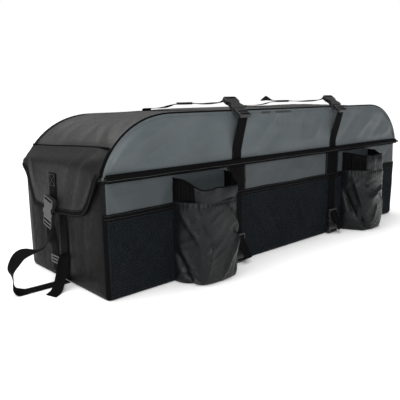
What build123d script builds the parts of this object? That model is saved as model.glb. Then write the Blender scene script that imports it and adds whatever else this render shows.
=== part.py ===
from build123d import *
import os
from math import cos, radians, sin, sqrt

# Soft-sided cargo bag for a hitch carrier. Millimetres, +Z up, +X along the bag, front face towards -Y.
# The origin is on the ground, at the middle of the bag's base.

# Overall sizes
bag_length = 1420
bag_depth = 440
bag_height = 460
zip_height = 309

# Padded walls and floor
wall = 8
board_thick = 4
board_gap = 4
seam_gap = 0.5

# Lid: its ends are quarter ellipses
end_curve_length = 230
piping = 4

# Zip: flat tape, coil and the band of cloth that covers them
tape_thick = 1.5
tape_height = 10
coil_thick = 1.7
coil_height = 3.2
zip_reach_back = 190
band_thick = 2.5
band_drop = 20
band_inset = 8
band_clear = 0.8

# Zip sliders and their pulls
slider_length = 26
slider_height = 14
slider_plate = 2.5
front_slider_inset = 20
end_slider_inset = 30
pull_length = 40
pull_width = 9
pull_thick = 1.6
pull_pin_r = 2.2
pull_head_r = 4
pull_head_thick = 1
running_gap = 0.3
bore_gap = 0.1

# Webbing
web = 38
web_thick = 2
slot_slack = 2
patch_width = 76
strap_x = 250
strap_lift = 20
strap_gap = 1

# Mesh pockets and their binding
mesh_top = 216
mesh_thick = 2
binding = 16
binding_thick = 2.5

# Bottle pouches
pouch_spans = ((-495, -300), (318, 498))
pouch_depth = 90
pouch_taper = 34
pouch_wall = 3
collar_seam = 226
collar_top = 290
collar_wall = 2

# End flaps: each lower corner is cut away in a curve, given as shares of its reach and of its rise
flap_seam_z = 382
flap_seam_r = 2.5
flap_thick = 3.5
flap_front = 212
flap_back = 205
flap_bottom = 196
flap_rise = 115
flap_front_reach = 112
flap_back_reach = 70
flap_front_sweep = ((0, 1), (0.08, 0.82), (0.3, 0.52), (0.5, 0.28), (0.68, 0.13), (1, 0.05))
flap_back_sweep = ((0, 0.96), (0.36, 0.83), (0.59, 0.57), (0.77, 0.17), (1, 0.03))
flap_shoulder = (8, 4)
binding_cover = 1.5

# Hinge bead along the back of the lid
bead_r = 2.2
bead_out = 2.5
hinge_strip = 18

# Side-release buckles for the webbing
buckle_width = 52
buckle_thick = 13
socket_length = 54
socket_wall = 2.7
mouth_wall = 3
socket_bar = 4
web_slot = 6
plug_length = 34
plug_width = 46
plug_thick = 10
plug_bar = 5
prong_thick = 6.8
prong_arm = 5
cavity_back = 6
window_start = 22
window_length = 20
notch_out = 3
socket_corner = 6
plug_corner = 4
edge_round = 1.5
tongue_width = 10
tongue_length = 28
prong_middle = 13.5
prong_nose = 4

# Strap adjusters
adjuster_width = 50
adjuster_length = 24
adjuster_bar = 5
adjuster_thick = 2.4

adjuster_y = 12
ladder_z = 52

# Places of the straps and buckles
strap_level_from = -150
strap_level_to = 62
strap_fall = 60
strap_run_in = 25
strap_tuck = 20
strap_kick = 90
tail_steps = ((-10, 0), (18, 1), (52, 10))
plug_wrap = 8
socket_wrap = 6
top_buckle_tilt = 36
top_buckle_over = 46
end_buckle_tilt = 15
end_buckle_y = 15
end_buckle_z = 240
rack_buckle_z = 4
end_strap_y = 50
end_strap_top = 160
end_strap_knee = (6, 50)
end_strap_meets = 98
end_strap_foot = 20
end_patch_y = -12
end_patch_span = (10, 240)
flap_strap_drop = 14
rack_tail_steps = ((0, 0), (4, 26), (22, 75))

# Slack webbing at the left end: how far out from the bag, and how high
loop_points = ((2, 108), (60, 108), (140, 96), (160, 65), (157, 20), (140, 1), (0, 1))
loop_y = -6
slack_points = ((0, 72), (10, 72), (20, 56), (34, 22), (56, 1), (84, 1))
slack_y = -62

os.makedirs("parts", exist_ok=True)

half_length = bag_length / 2
half_depth = bag_depth / 2
tub_top = zip_height - seam_gap / 2
lid_base = zip_height + seam_gap / 2
curve_height = bag_height - lid_base
curve_start = half_length - end_curve_length


def keep(piece, name):
    piece.part.label = name
    export_step(piece.part, f"parts/{name}.step")


def slab(name, x, y, z):
    # A rectangular panel between two values of x, y and z
    with BuildPart() as piece:
        with BuildSketch(Plane.XY.offset(z[0])):
            with Locations(((x[0] + x[1]) / 2, (y[0] + y[1]) / 2)):
                Rectangle(x[1] - x[0], y[1] - y[0])
        extrude(amount=z[1] - z[0])
    keep(piece, name)


def ribbon_outline(points, thick):
    # The two sides of a strip of even thickness whose middle line goes through the points
    sides = ([], [])
    for i, point in enumerate(points):
        here = Vector(*point)
        before = (here - Vector(*points[i - 1])).normalized() if i else None
        after = (Vector(*points[i + 1]) - here).normalized() if i + 1 < len(points) else None
        way = ((before or after) + (after or before)).normalized()
        across = Vector(-way.Y, way.X)
        lean = across.dot(Vector(-(before or after).Y, (before or after).X))
        for side, sign in zip(sides, (1, -1)):
            side.append(here + across * (sign * thick / 2 / lean))
    return [(p.X, p.Y) for p in sides[0] + sides[1][::-1]]


def ribbon(points, thick):
    # Draws that strip in the sketch that is open
    with BuildLine() as sides:
        Polyline(*ribbon_outline(points, thick), close=True)
    make_face(sides.edges())


def strip_of(points, places, thick=web_thick, width=web):
    # Webbing whose path is drawn seen from the end of the bag, as (y, z), at each x in places
    with BuildPart() as piece:
        for x in places:
            with BuildSketch(Plane.YZ.offset(x)):
                ribbon(points, thick)
            extrude(amount=width / 2, both=True)
    return piece


# Tub
slab("floor_panel", (-half_length, half_length), (-half_depth, half_depth), (0, wall))
inside = half_depth - wall - board_gap
slab(
    "floor_board",
    (wall + board_gap - half_length, half_length - wall - board_gap),
    (-inside, inside),
    (wall, wall + board_thick),
)
for name, side in (("tub_front_panel", -1), ("tub_back_panel", 1)):
    faces = sorted((side * half_depth, side * (half_depth - wall)))
    slab(name, (-half_length, half_length), faces, (wall, tub_top))
for name, side in (("tub_left_panel", -1), ("tub_right_panel", 1)):
    faces = sorted((side * half_length, side * (half_length - wall)))
    slab(name, faces, (wall - half_depth, half_depth - wall), (wall, tub_top))


def zip_run(name, inner, thick, low, high):
    # A strip that goes round the two ends and the front, this far out from the walls
    with BuildPart() as piece:
        with BuildSketch(Plane.XY.offset(low)):
            for grow, mode in ((inner + thick, Mode.ADD), (inner, Mode.SUBTRACT)):
                back = zip_reach_back if mode == Mode.ADD else half_depth
                with Locations((0, (back - half_depth - grow) / 2)):
                    Rectangle(bag_length + 2 * grow, half_depth + grow + back, mode=mode)
        extrude(amount=high - low)
    keep(piece, name)


zip_run("tub_zip_tape", 0, tape_thick, tub_top - tape_height, tub_top)
zip_run("tub_zip_coil", tape_thick, coil_thick, tub_top - coil_height, tub_top)

# Hinge: the back edges of the tub and the lid meet at a round bead in a strip of tape
hinge_y = half_depth + bead_out
with BuildPart() as hinge_bead:
    with BuildSketch(Plane.YZ):
        with Locations((hinge_y, zip_height)):
            Circle(bead_r)
        with Locations((half_depth + web_thick / 2, zip_height - hinge_strip / 2)):
            Rectangle(web_thick, hinge_strip - 2 * seam_gap)
    extrude(amount=half_length - wall, both=True)
keep(hinge_bead, "hinge_bead")

# Mesh pockets in the bays beside and between the pouches, with binding along their top edges
bays = (
    ("left", -half_length, pouch_spans[0][0]),
    ("centre", pouch_spans[0][1], pouch_spans[1][0]),
    ("right", pouch_spans[1][1], half_length),
)
for name, start, end in bays:
    slab(
        f"mesh_pocket_{name}",
        (start, end),
        (-half_depth - mesh_thick, -half_depth),
        (wall, mesh_top - binding / 2),
    )
with BuildPart() as mesh_binding:
    with BuildSketch(Plane.XY.offset(mesh_top - binding / 2)):
        for _, start, end in bays:
            with Locations(((start + end) / 2, -half_depth - binding_thick / 2)):
                Rectangle(end - start, binding_thick)
    extrude(amount=binding)
keep(mesh_binding, "mesh_binding")
binding_bottom = mesh_top - binding / 2
binding_top = mesh_top + binding / 2


def pouch_outline(start, end, inset):
    # Seen from above: the mouth tapers forwards and is open towards the bag
    front = -half_depth - pouch_depth
    with BuildLine() as walls:
        Polyline(
            (start + inset, -half_depth),
            (start + inset, -half_depth - pouch_depth / 3),
            (start + pouch_taper + inset * 0.7, front + inset),
            (end - pouch_taper - inset * 0.7, front + inset),
            (end - inset, -half_depth - pouch_depth / 3),
            (end - inset, -half_depth),
            close=True,
        )
    make_face(walls.edges())


def pouch_wall_part(start, end, low, high, thick, bottom):
    with BuildPart() as piece:
        with BuildSketch(Plane.XY.offset(low)):
            pouch_outline(start, end, 0)
        extrude(amount=high - low)
        with BuildSketch(Plane.XY.offset(low + bottom)):
            pouch_outline(start, end, thick)
        extrude(amount=high - low, mode=Mode.SUBTRACT)
    return piece


for side, (start, end) in zip(("left", "right"), pouch_spans):
    pouch = pouch_wall_part(start, end, 0, collar_seam, pouch_wall, pouch_wall)
    keep(pouch, f"bottle_pouch_{side}")
    collar = pouch_wall_part(start, end, collar_seam, collar_top, collar_wall, 0)
    keep(collar, f"pouch_collar_{side}")

# Webbing on the front of the tub: a wide patch above the mesh and a strap down over it
with BuildPart() as strap_patches:
    with BuildSketch(Plane.XY.offset(binding_top)):
        with Locations(*((side * strap_x, -half_depth - web_thick / 2) for side in (-1, 1))):
            Rectangle(patch_width, web_thick)
    extrude(amount=tub_top - tape_height - binding_top)
keep(strap_patches, "strap_patches")

rack_strap_y = -half_depth - mesh_thick - web_thick / 2
rack_straps = strip_of(
    [(rack_strap_y, rack_buckle_z + socket_length), (rack_strap_y, binding_bottom)],
    (-strap_x, strap_x),
)
keep(rack_straps, "rack_straps")


# Lid
def arch(inset, mode=Mode.ADD):
    # The lid seen from the front: flat on top, with a quarter ellipse at each end
    across = end_curve_length - inset
    up = curve_height - inset
    with BuildLine() as outline:
        EllipticalCenterArc((curve_start, lid_base), across, up, start_angle=0, arc_size=90)
        Line((curve_start, lid_base + up), (-curve_start, lid_base + up))
        EllipticalCenterArc((-curve_start, lid_base), across, up, start_angle=90, arc_size=90)
        Line((-curve_start - across, lid_base), (curve_start + across, lid_base))
    make_face(outline.edges(), mode=mode)


with BuildPart() as lid_top:
    with BuildSketch(Plane.XZ):
        arch(0)
    extrude(amount=half_depth - wall, both=True)
    with BuildSketch(Plane.XZ):
        arch(wall)
    extrude(amount=half_depth - wall, both=True, mode=Mode.SUBTRACT)
keep(lid_top, "lid_top_panel")

for name, plane in (
    ("lid_front_panel", Plane.XZ.offset(half_depth - wall)),
    ("lid_back_panel", Plane.XZ.offset(-half_depth)),
):
    with BuildPart() as lid_side:
        with BuildSketch(plane):
            arch(0)
        extrude(amount=wall)
    keep(lid_side, name)

with BuildPart() as lid_piping:
    for plane in (Plane.XZ.offset(half_depth - piping), Plane.XZ.offset(-half_depth)):
        with BuildSketch(plane):
            arch(-piping)
            arch(0, mode=Mode.SUBTRACT)
            with Locations((0, lid_base)):
                Rectangle(bag_length + 4 * piping, 2 * tape_height, mode=Mode.SUBTRACT)
        extrude(amount=piping)
keep(lid_piping, "lid_piping")

zip_run("lid_zip_tape", 0, tape_thick, lid_base, lid_base + tape_height)
zip_run("lid_zip_coil", tape_thick, coil_thick, lid_base, lid_base + coil_height)

# The band hangs from the lid's tape over the zip along the front
band_back = -half_depth - tape_thick
band_stand_off = tape_thick + coil_thick + slider_plate + pull_thick + pull_head_thick
band_stand_off += 3 * running_gap + band_clear
band_face = -half_depth - band_stand_off
band_top = lid_base + tape_height
with BuildPart() as storm_band:
    with BuildSketch(Plane.YZ):
        with BuildLine():
            Polyline(
                (band_back, band_top),
                (band_face - band_thick, band_top),
                (band_face - band_thick, band_top - band_drop),
                (band_face, band_top - band_drop),
                (band_face, band_top - band_thick),
                (band_back, band_top - band_thick),
                close=True,
            )
        make_face()
    extrude(amount=half_length - band_inset, both=True)
keep(storm_band, "storm_band")


# Buckles
def make_buckle(name, plane):
    # The plane's origin is at the socket's bar, midway through its thickness, and +x runs to the plug
    cavity_width = buckle_width - 2 * mouth_wall
    cavity_height = buckle_thick - 2 * socket_wall
    cavity_start = socket_bar + web_slot + cavity_back
    plug_start = socket_length + running_gap
    up = Axis(plane.origin, plane.z_dir)

    with BuildPart() as socket:
        with BuildSketch(plane.offset(-buckle_thick / 2)):
            with Locations((socket_length / 2, 0)):
                RectangleRounded(socket_length, buckle_width, socket_corner)
        extrude(amount=buckle_thick)
        rims = socket.faces().sort_by(up)
        fillet(rims[0].edges() + rims[-1].edges(), edge_round)
        with BuildSketch(plane.offset(-cavity_height / 2)):
            with Locations((cavity_start + socket_length / 2, 0)):
                Rectangle(socket_length, cavity_width)
            with Locations((window_start + window_length / 2, 0)):
                Rectangle(window_length, buckle_width)
        extrude(amount=cavity_height, mode=Mode.SUBTRACT)
        with BuildSketch(plane.offset(-buckle_thick / 2)):
            with Locations((socket_bar + web_slot / 2, 0)):
                Rectangle(web_slot, web + slot_slack)
            for side in (-1, 1):
                with Locations((window_start + window_length / 2, side * (buckle_width / 2 + notch_out))):
                    Circle(window_length / 2)
        extrude(amount=buckle_thick, mode=Mode.SUBTRACT)
    keep(socket, f"{name}_socket")

    with BuildPart() as plug:
        with BuildSketch(plane.offset(-plug_thick / 2)):
            with Locations((plug_start + plug_length / 2, 0)):
                RectangleRounded(plug_length, plug_width, plug_corner)
        extrude(amount=plug_thick)
        rims = plug.faces().sort_by(up)
        fillet(rims[0].edges() + rims[-1].edges(), edge_round)
        with BuildSketch(plane.offset(-plug_thick / 2)):
            for slot in (plug_bar + web_slot / 2, 2 * plug_bar + web_slot * 1.5):
                with Locations((plug_start + plug_length - slot, 0)):
                    Rectangle(web_slot, web + slot_slack)
        extrude(amount=plug_thick, mode=Mode.SUBTRACT)
        prong_out = cavity_width / 2 - running_gap
        with BuildSketch(plane.offset(-prong_thick / 2)):
            with Locations((plug_start - tongue_length / 2 + edge_round, 0)):
                Rectangle(tongue_length + edge_round, tongue_width)
            for side in (-1, 1):
                inner = prong_middle - prong_arm / 2
                outer = prong_middle + prong_arm / 2
                with BuildLine():
                    Polyline(
                        (plug_start + edge_round, side * inner),
                        (window_start + prong_arm, side * inner),
                        (window_start - prong_nose, side * outer),
                        (window_start + prong_arm, side * prong_out),
                        (window_start + window_length - prong_arm, side * prong_out),
                        (window_start + window_length - prong_nose, side * outer),
                        (plug_start + edge_round, side * outer),
                        close=True,
                    )
                make_face()
        extrude(amount=prong_thick)
    keep(plug, f"{name}_plug")


# Top buckles lean over the front edge of the lid
top_along = Vector(0, -cos(radians(top_buckle_tilt)), -sin(radians(top_buckle_tilt)))
top_out = Vector(0, -sin(radians(top_buckle_tilt)), cos(radians(top_buckle_tilt)))
lid_edge = Vector(0, -half_depth, bag_height + piping)
top_bar = lid_edge + top_out * (buckle_thick / 2 + strap_gap) - top_along * top_buckle_over
# Rack buckles stand at the foot of the front, with their plugs upwards
rack_bar = Vector(0, rack_strap_y - web_thick / 2 - running_gap - buckle_thick / 2, rack_buckle_z)
# End buckles hang over the end flaps
stand_off = band_stand_off + running_gap
flap_x = half_length + stand_off + flap_thick / 2
flap_face = flap_x + flap_thick / 2
end_bar_x = flap_face + web_thick + strap_gap + buckle_thick / 2
end_along = Vector(0, sin(radians(end_buckle_tilt)), -cos(radians(end_buckle_tilt)))

buckles = {}
for side, sign in (("left", -1), ("right", 1)):
    middle = Vector(sign * strap_x, 0, 0)
    buckles[f"top_buckle_{side}"] = Plane(middle + top_bar, x_dir=top_along, z_dir=top_out)
    buckles[f"rack_buckle_{side}"] = Plane(middle + rack_bar, x_dir=(0, 0, 1), z_dir=(0, -1, 0))
    buckles[f"end_buckle_{side}"] = Plane(
        (sign * end_bar_x, end_buckle_y, end_buckle_z), x_dir=end_along, z_dir=(sign, 0, 0)
    )
for name, plane in buckles.items():
    make_buckle(name, plane)


# Webbing on the lid
strap_z = bag_height + strap_lift + web_thick
strap_foot = lid_base + tape_height
strap_front = -half_depth - web_thick / 2
plug_under = plug_thick / 2 + web_thick / 2 + running_gap
front_reach = socket_length + plug_length - plug_wrap
front_end = top_bar + top_along * front_reach - top_out * (plug_under + strap_gap)
lid_front_straps = strip_of(
    [(strap_front, strap_foot), (strap_front, front_end.Z - strap_kick), (front_end.Y, front_end.Z)],
    (-strap_x, strap_x),
)
keep(lid_front_straps, "lid_front_straps")

socket_under = buckle_thick / 2 + web_thick / 2 + running_gap
rear_start = top_bar + top_along * socket_wrap - top_out * socket_under
over_piping = bag_height + piping + web_thick / 2
top_straps = strip_of(
    [
        (rear_start.Y, rear_start.Z),
        (strap_level_from, strap_z),
        (strap_level_to, strap_z),
        (strap_level_to + strap_fall, over_piping + web_thick),
        (half_depth - strap_run_in, over_piping),
        (half_depth + web_thick / 2, over_piping),
        (half_depth + web_thick / 2, strap_foot + strap_tuck),
    ],
    (-strap_x, strap_x),
)
keep(top_straps, "top_straps")

tail_z = strap_z + web_thick
strap_tail = strip_of(
    [(strap_level_to + along, tail_z + up) for along, up in tail_steps],
    (strap_x,),
)
keep(strap_tail, "strap_tail")


def make_adjuster(name, x):
    # A frame with two bars under the webbing and one over it
    rail_z = web_thick / 2 + running_gap + adjuster_thick
    bar_z = web_thick / 2 + running_gap
    rail_x = adjuster_width / 2 - adjuster_bar / 2
    with BuildPart() as adjuster:
        with BuildSketch(Plane.XY.offset(strap_z - rail_z)):
            with Locations((x - rail_x, adjuster_y), (x + rail_x, adjuster_y)):
                RectangleRounded(adjuster_bar, adjuster_length, adjuster_bar / 2 - 0.1)
        extrude(amount=2 * rail_z)
        with BuildSketch(Plane.XY.offset(strap_z - rail_z)):
            bar_y = adjuster_length / 2 - adjuster_bar / 2
            with Locations((x, adjuster_y - bar_y), (x, adjuster_y + bar_y)):
                Rectangle(2 * rail_x, adjuster_bar)
        extrude(amount=adjuster_thick)
        with BuildSketch(Plane.XY.offset(strap_z + bar_z)):
            with Locations((x, adjuster_y)):
                Rectangle(2 * rail_x, adjuster_bar)
        extrude(amount=adjuster_thick)
    keep(adjuster, name)


make_adjuster("strap_adjuster_left", -strap_x)
make_adjuster("strap_adjuster_right", strap_x)

# End flaps
seam_rise = (flap_seam_z - lid_base) / curve_height
seam_x = curve_start + end_curve_length * sqrt(1 - seam_rise**2)
seam_slope = Vector((seam_x - curve_start) / end_curve_length**2, seam_rise / curve_height).normalized()
seam_axis = Vector(seam_x, flap_seam_z) + seam_slope * (flap_seam_r + running_gap)
flap_low = zip_height + tape_height
flap_points = (
    (seam_axis.X, seam_axis.Y),
    (flap_x - flap_shoulder[0], (seam_axis.Y + flap_low) / 2 - flap_shoulder[1]),
    (flap_x, flap_low),
    (flap_x, flap_bottom - 20),
)


def flap_outline():
    # The flap seen from the end
    front = [
        (-flap_front + across * flap_front_reach, flap_bottom + up * flap_rise)
        for across, up in flap_front_sweep
    ]
    back = [
        (flap_back - across * flap_back_reach, flap_bottom + up * flap_rise)
        for across, up in flap_back_sweep
    ]
    with BuildLine() as edge:
        Polyline(
            (-flap_front, bag_height),
            *front,
            *back[::-1],
            (flap_back, bag_height),
            close=True,
        )
    make_face(edge.edges())


for side, sign in (("left", -1), ("right", 1)):
    path = [(sign * x, z) for x, z in flap_points]
    with BuildPart() as flap:
        with BuildSketch(Plane.XZ.offset(-flap_back)):
            ribbon(path, flap_thick)
            with Locations(path[0]):
                Circle(flap_seam_r)
        extrude(amount=flap_front + flap_back)
        with BuildSketch(Plane.YZ) as outline:
            flap_outline()
        extrude(amount=sign * (half_length + 60), mode=Mode.INTERSECT)
    keep(flap, f"{side}_flap")

    with BuildPart() as flap_binding:
        with BuildSketch(Plane.YZ.offset(sign * flap_face)) as ring:
            flap_outline()
            inner = offset(amount=-binding, kind=Kind.INTERSECTION, mode=Mode.PRIVATE)
            add(inner, mode=Mode.SUBTRACT)
            with Locations((0, flap_low + curve_height)):
                Rectangle(bag_depth, 2 * curve_height, mode=Mode.SUBTRACT)
        extrude(amount=sign * binding_cover)
    keep(flap_binding, f"{side}_flap_binding")

    with BuildPart() as flap_strap:
        with BuildSketch(Plane.YZ.offset(sign * flap_face)):
            strap_top = flap_low - flap_strap_drop
            strap_end = end_buckle_z - socket_wrap
            with Locations((end_buckle_y, (strap_top + strap_end) / 2)):
                Rectangle(web, strap_top - strap_end)
        extrude(amount=sign * web_thick)
    keep(flap_strap, f"{side}_flap_strap")


# Webbing on the ends of the tub
def end_strip(paths, name):
    # Webbing whose path is drawn in front view, as (x, z), about the middle value of y beside it
    with BuildPart() as piece:
        for points, y in paths:
            with BuildSketch(Plane.XZ.offset(-y)):
                ribbon(points, web_thick)
            extrude(amount=web / 2, both=True)
    keep(piece, name)


on_end = half_length + web_thick / 2
end_path = [
    (flap_face + web_thick / 2, end_strap_top),
    (on_end + end_strap_knee[0], end_strap_top - end_strap_knee[1]),
    (on_end, end_strap_meets),
    (on_end, end_strap_foot),
]
patch_path = [(on_end, z) for z in end_patch_span[::-1]]
end_strip(
    [
        ([(sign * x, z) for x, z in path], y)
        for path, y in ((end_path, end_strap_y), (patch_path, end_patch_y))
        for sign in (-1, 1)
    ],
    "end_straps",
)
loop_path = [(-half_length - out, up) for out, up in loop_points]
slack_path = [(-half_length - out, up) for out, up in slack_points]
end_strip([(loop_path, loop_y), (slack_path, slack_y)], "left_strap_slack")

with BuildPart() as ladder_locks:
    for sign in (-1, 1):
        with BuildSketch(Plane.YZ.offset(sign * (half_length + web_thick))):
            with Locations((end_strap_y, ladder_z)):
                RectangleRounded(adjuster_width, adjuster_length, 4)
            bar_gap = (adjuster_length - 3 * adjuster_bar) / 2
            for step in (-1, 1):
                with Locations((end_strap_y, ladder_z + step * (bar_gap + adjuster_bar) / 2)):
                    Rectangle(web + 2, bar_gap, mode=Mode.SUBTRACT)
        extrude(amount=sign * adjuster_thick)
keep(ladder_locks, "end_ladder_locks")

# Webbing at the rack buckles
with BuildPart() as rack_anchors:
    with BuildSketch(Plane.XY.offset(running_gap)):
        with Locations(*((sign * strap_x, (rack_bar.Y - half_depth) / 2) for sign in (-1, 1))):
            Rectangle(web, -half_depth - rack_bar.Y)
    extrude(amount=web_thick)
keep(rack_anchors, "rack_anchors")

tail_out = rack_bar.Y - plug_thick / 2 - web_thick / 2
tail_top = rack_buckle_z + socket_length + plug_length - plug_bar
for side, sign in (("left", -1), ("right", 1)):
    rack_tail = strip_of(
        [(tail_out - out, tail_top - down) for out, down in rack_tail_steps],
        (sign * strap_x,),
    )
    keep(rack_tail, f"rack_tail_{side}")


# Zip sliders
def make_slider(name, plane):
    # The plane lies in the wall's face with its origin under the pin, and +x runs along the pull
    plate = tape_thick + coil_thick + running_gap
    pull = plate + slider_plate + running_gap
    head = pull + pull_thick + running_gap
    with BuildPart() as slider:
        with BuildSketch(plane.offset(plate)):
            RectangleRounded(slider_length, slider_height, slider_height / 3)
        extrude(amount=slider_plate)
        with BuildSketch(plane.offset(plate)):
            Circle(pull_pin_r)
        extrude(amount=head - plate)
        with BuildSketch(plane.offset(head)):
            Circle(pull_head_r)
        extrude(amount=pull_head_thick)
    keep(slider, f"{name}_slider")
    with BuildPart() as tab:
        with BuildSketch(plane.offset(pull)):
            with Locations((pull_length / 2 - pull_width / 2, 0)):
                SlotOverall(pull_length, pull_width)
            Circle(pull_pin_r + bore_gap, mode=Mode.SUBTRACT)
        extrude(amount=pull_thick)
    keep(tab, f"{name}_pull")


sliders = {
    "front_zip": Plane(
        (half_length - front_slider_inset, -half_depth, zip_height), x_dir=(1, 0, 0), z_dir=(0, -1, 0)
    ),
    "end_zip": Plane(
        (half_length, end_slider_inset - half_depth, zip_height), x_dir=(0, 1, 0), z_dir=(1, 0, 0)
    ),
}
for name, plane in sliders.items():
    make_slider(name, plane)
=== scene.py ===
import math

import bmesh
import bpy
import numpy as np
from mathutils import Matrix, Vector, noise


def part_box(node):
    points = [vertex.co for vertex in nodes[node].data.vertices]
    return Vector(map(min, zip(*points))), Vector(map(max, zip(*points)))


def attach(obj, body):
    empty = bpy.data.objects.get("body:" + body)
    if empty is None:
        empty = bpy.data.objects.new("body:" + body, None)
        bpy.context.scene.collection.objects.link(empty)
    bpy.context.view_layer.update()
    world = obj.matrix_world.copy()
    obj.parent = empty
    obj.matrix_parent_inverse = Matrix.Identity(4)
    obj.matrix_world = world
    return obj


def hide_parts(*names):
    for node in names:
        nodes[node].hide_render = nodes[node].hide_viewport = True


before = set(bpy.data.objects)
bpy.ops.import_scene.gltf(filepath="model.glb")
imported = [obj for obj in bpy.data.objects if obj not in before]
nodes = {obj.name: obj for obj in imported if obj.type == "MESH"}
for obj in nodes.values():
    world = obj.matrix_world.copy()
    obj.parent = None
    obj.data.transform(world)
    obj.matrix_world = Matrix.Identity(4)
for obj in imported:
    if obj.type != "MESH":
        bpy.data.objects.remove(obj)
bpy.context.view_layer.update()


# the places every piece is set out from, read off the frame, in metres
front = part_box("tub_front_panel")
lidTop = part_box("lid_top_panel")[1].z
halfLength = front[1].x
halfDepth = -front[0].y
tubTop = front[1].z
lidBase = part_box("lid_front_panel")[0].z
zipLine = (tubTop + lidBase) / 2
curveLength = 0.230  # how far in from each end the lid starts to curve down
strapX = 0.250  # middle of each pair of front straps
cornerRound = 0.016
web = {"width": 0.038, "thick": 0.0019, "patch": 0.076}


# small tools for cloth made of rows and columns of points


def ramp(value, low, high):  # 0 below low, 1 above high, smooth between
    t = np.clip((np.asarray(value, float) - low) / (high - low), 0, 1)
    return t * t * (3 - 2 * t)


def bump(value, middle, width):
    return np.exp(-(((np.asarray(value, float) - middle) / width) ** 2))


def crumple(x, y, z, size, seed=0.0):  # soft noise from about -1 to 1, size in metres
    x, y, z = np.broadcast_arrays(x, y, z)
    flat = zip(x.ravel() / size, y.ravel() / size, z.ravel() / size)
    values = [noise.noise(Vector((a + seed, b - seed, c + 2 * seed))) for a, b, c in flat]
    return np.array(values).reshape(x.shape) * 1.6


def crease(x, y, z, size, seed=0.0):  # sharp ridges, 1 on a ridge and falling to about -1
    return 1 - 3.2 * np.abs(crumple(x, y, z, size, seed))


def foldAlong(a, b, start, end, width, depth):
    # a ridge (or, with a negative depth, a valley) along one line on the cloth, fading at its ends
    way = np.array(end, float) - np.array(start, float)
    length = np.linalg.norm(way)
    way = way / length
    along = (a - start[0]) * way[0] + (b - start[1]) * way[1]
    aside = np.abs((b - start[1]) * way[0] - (a - start[0]) * way[1])
    fade = ramp(along / length, -0.25, 0.2) * (1 - ramp(along / length, 0.75, 1.25))
    return depth * np.exp(-((aside / width) ** 1.3)) * fade


def foldsOf(a, b, folds, width=0.008):
    return sum(foldAlong(a, b, start, end, width, depth) for start, end, depth in folds)


def spots(x, y, z):  # points from x, y and z, each stretched to match the others
    return np.stack(np.broadcast_arrays(x, y, z), -1)


def beside(line, outs, away, z):  # points that stand away from a line of places
    return spots(line[:, 0] + outs[:, 0] * away, line[:, 1] + outs[:, 1] * away, z)


def runLength(line):
    return np.concatenate([[0], np.cumsum(np.linalg.norm(np.diff(line, axis=0), axis=1))])


def runShare(line):
    run = runLength(line)
    return run / run[-1]


def smoothLine(points, step, rounds=3):  # cuts the corners of a line, then spaces it evenly
    line = np.array(points, float)
    for _ in range(rounds):
        near = line[:-1] * 0.75 + line[1:] * 0.25
        far = line[:-1] * 0.25 + line[1:] * 0.75
        middle = np.stack([near, far], 1).reshape(-1, line.shape[1])
        line = np.vstack([line[:1], middle[1:-1], line[-1:]])
    return evenLine(line, step)


def evenLine(line, step):
    line = np.array(line, float)
    run = runLength(line)
    count = max(2, int(round(run[-1] / step)) + 1)
    at = np.linspace(0, run[-1], count)
    return np.stack([np.interp(at, run, line[:, k]) for k in range(line.shape[1])], 1)


def unit(vectors):
    return vectors / np.maximum(np.linalg.norm(vectors, axis=-1, keepdims=True), 1e-12)


def gridNormals(points):
    return unit(np.cross(np.gradient(points, axis=1), np.gradient(points, axis=0)))


def linked(name, data):  # a new object in the scene
    item = bpy.data.objects.new(name, data)
    bpy.context.scene.collection.objects.link(item)
    return item


sharpAngle = 0.9  # edges that turn more than this stay sharp, in radians


def meshFrom(name, vertices, faces, uvs, paints):
    mesh = bpy.data.meshes.new(name)
    mesh.from_pydata([tuple(v) for v in vertices], [], faces)
    layer = mesh.uv_layers.new(name="cloth")
    layer.data.foreach_set("uv", np.array(uvs, np.float32).ravel())
    mesh.polygons.foreach_set("material_index", np.array(paints, np.int32))
    work = bmesh.new()
    work.from_mesh(mesh)
    bmesh.ops.remove_doubles(work, verts=work.verts, dist=2e-5)
    bmesh.ops.dissolve_degenerate(work, dist=1e-6, edges=work.edges)
    bmesh.ops.recalc_face_normals(work, faces=work.faces)
    for face in work.faces:
        face.smooth = True
    work.to_mesh(mesh)
    work.free()
    mesh.set_sharp_from_angle(angle=sharpAngle)
    return linked(name, mesh)


def clothShell(name, outer, inner, u, v, paint=None, wrap=False):
    # a closed sheet with an outer and an inner face; u and v are metres along the cloth
    rows, cols = outer.shape[:2]
    vertices = np.vstack([outer.reshape(-1, 3), inner.reshape(-1, 3)])
    u, v = np.broadcast_to(u, (rows, cols)), np.broadcast_to(v, (rows, cols))
    where = np.stack([u, v], -1).reshape(-1, 2)
    where = np.vstack([where, where])
    faces, paints = [], []
    half = rows * cols
    for i in range(rows - 1):
        for j in range(cols - 1):
            a, b = i * cols + j, i * cols + j + 1
            c, d = b + cols, a + cols
            faces.append((a, b, c, d))
            faces.append((half + d, half + c, half + b, half + a))
            shade = 0 if paint is None else int(paint[i, j])
            paints += [shade, shade]
    rims = [[i * cols for i in range(rows)], [i * cols + cols - 1 for i in range(rows)]]
    rims = ([] if wrap else rims) + [list(range(cols)), [half - cols + j for j in range(cols)]]
    for rim in rims:
        for a, b in zip(rim, rim[1:]):
            faces.append((a, b, half + b, half + a))
            i, j = min(a // cols, rows - 2), min(a % cols, cols - 2)
            paints.append(0 if paint is None else int(paint[i, j]))
    uvs = [where[k] for face in faces for k in face]
    return meshFrom(name, vertices, faces, uvs, paints)


def sheetAround(name, points, thick, u, v, paint=None, wrap=False, share=0.5):
    # share is how much of the thickness lies on the side the normals point to
    across = gridNormals(points)
    outer, inner = points + across * thick * share, points - across * thick * (1 - share)
    return clothShell(name, outer, inner, u, v, paint, wrap)


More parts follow.
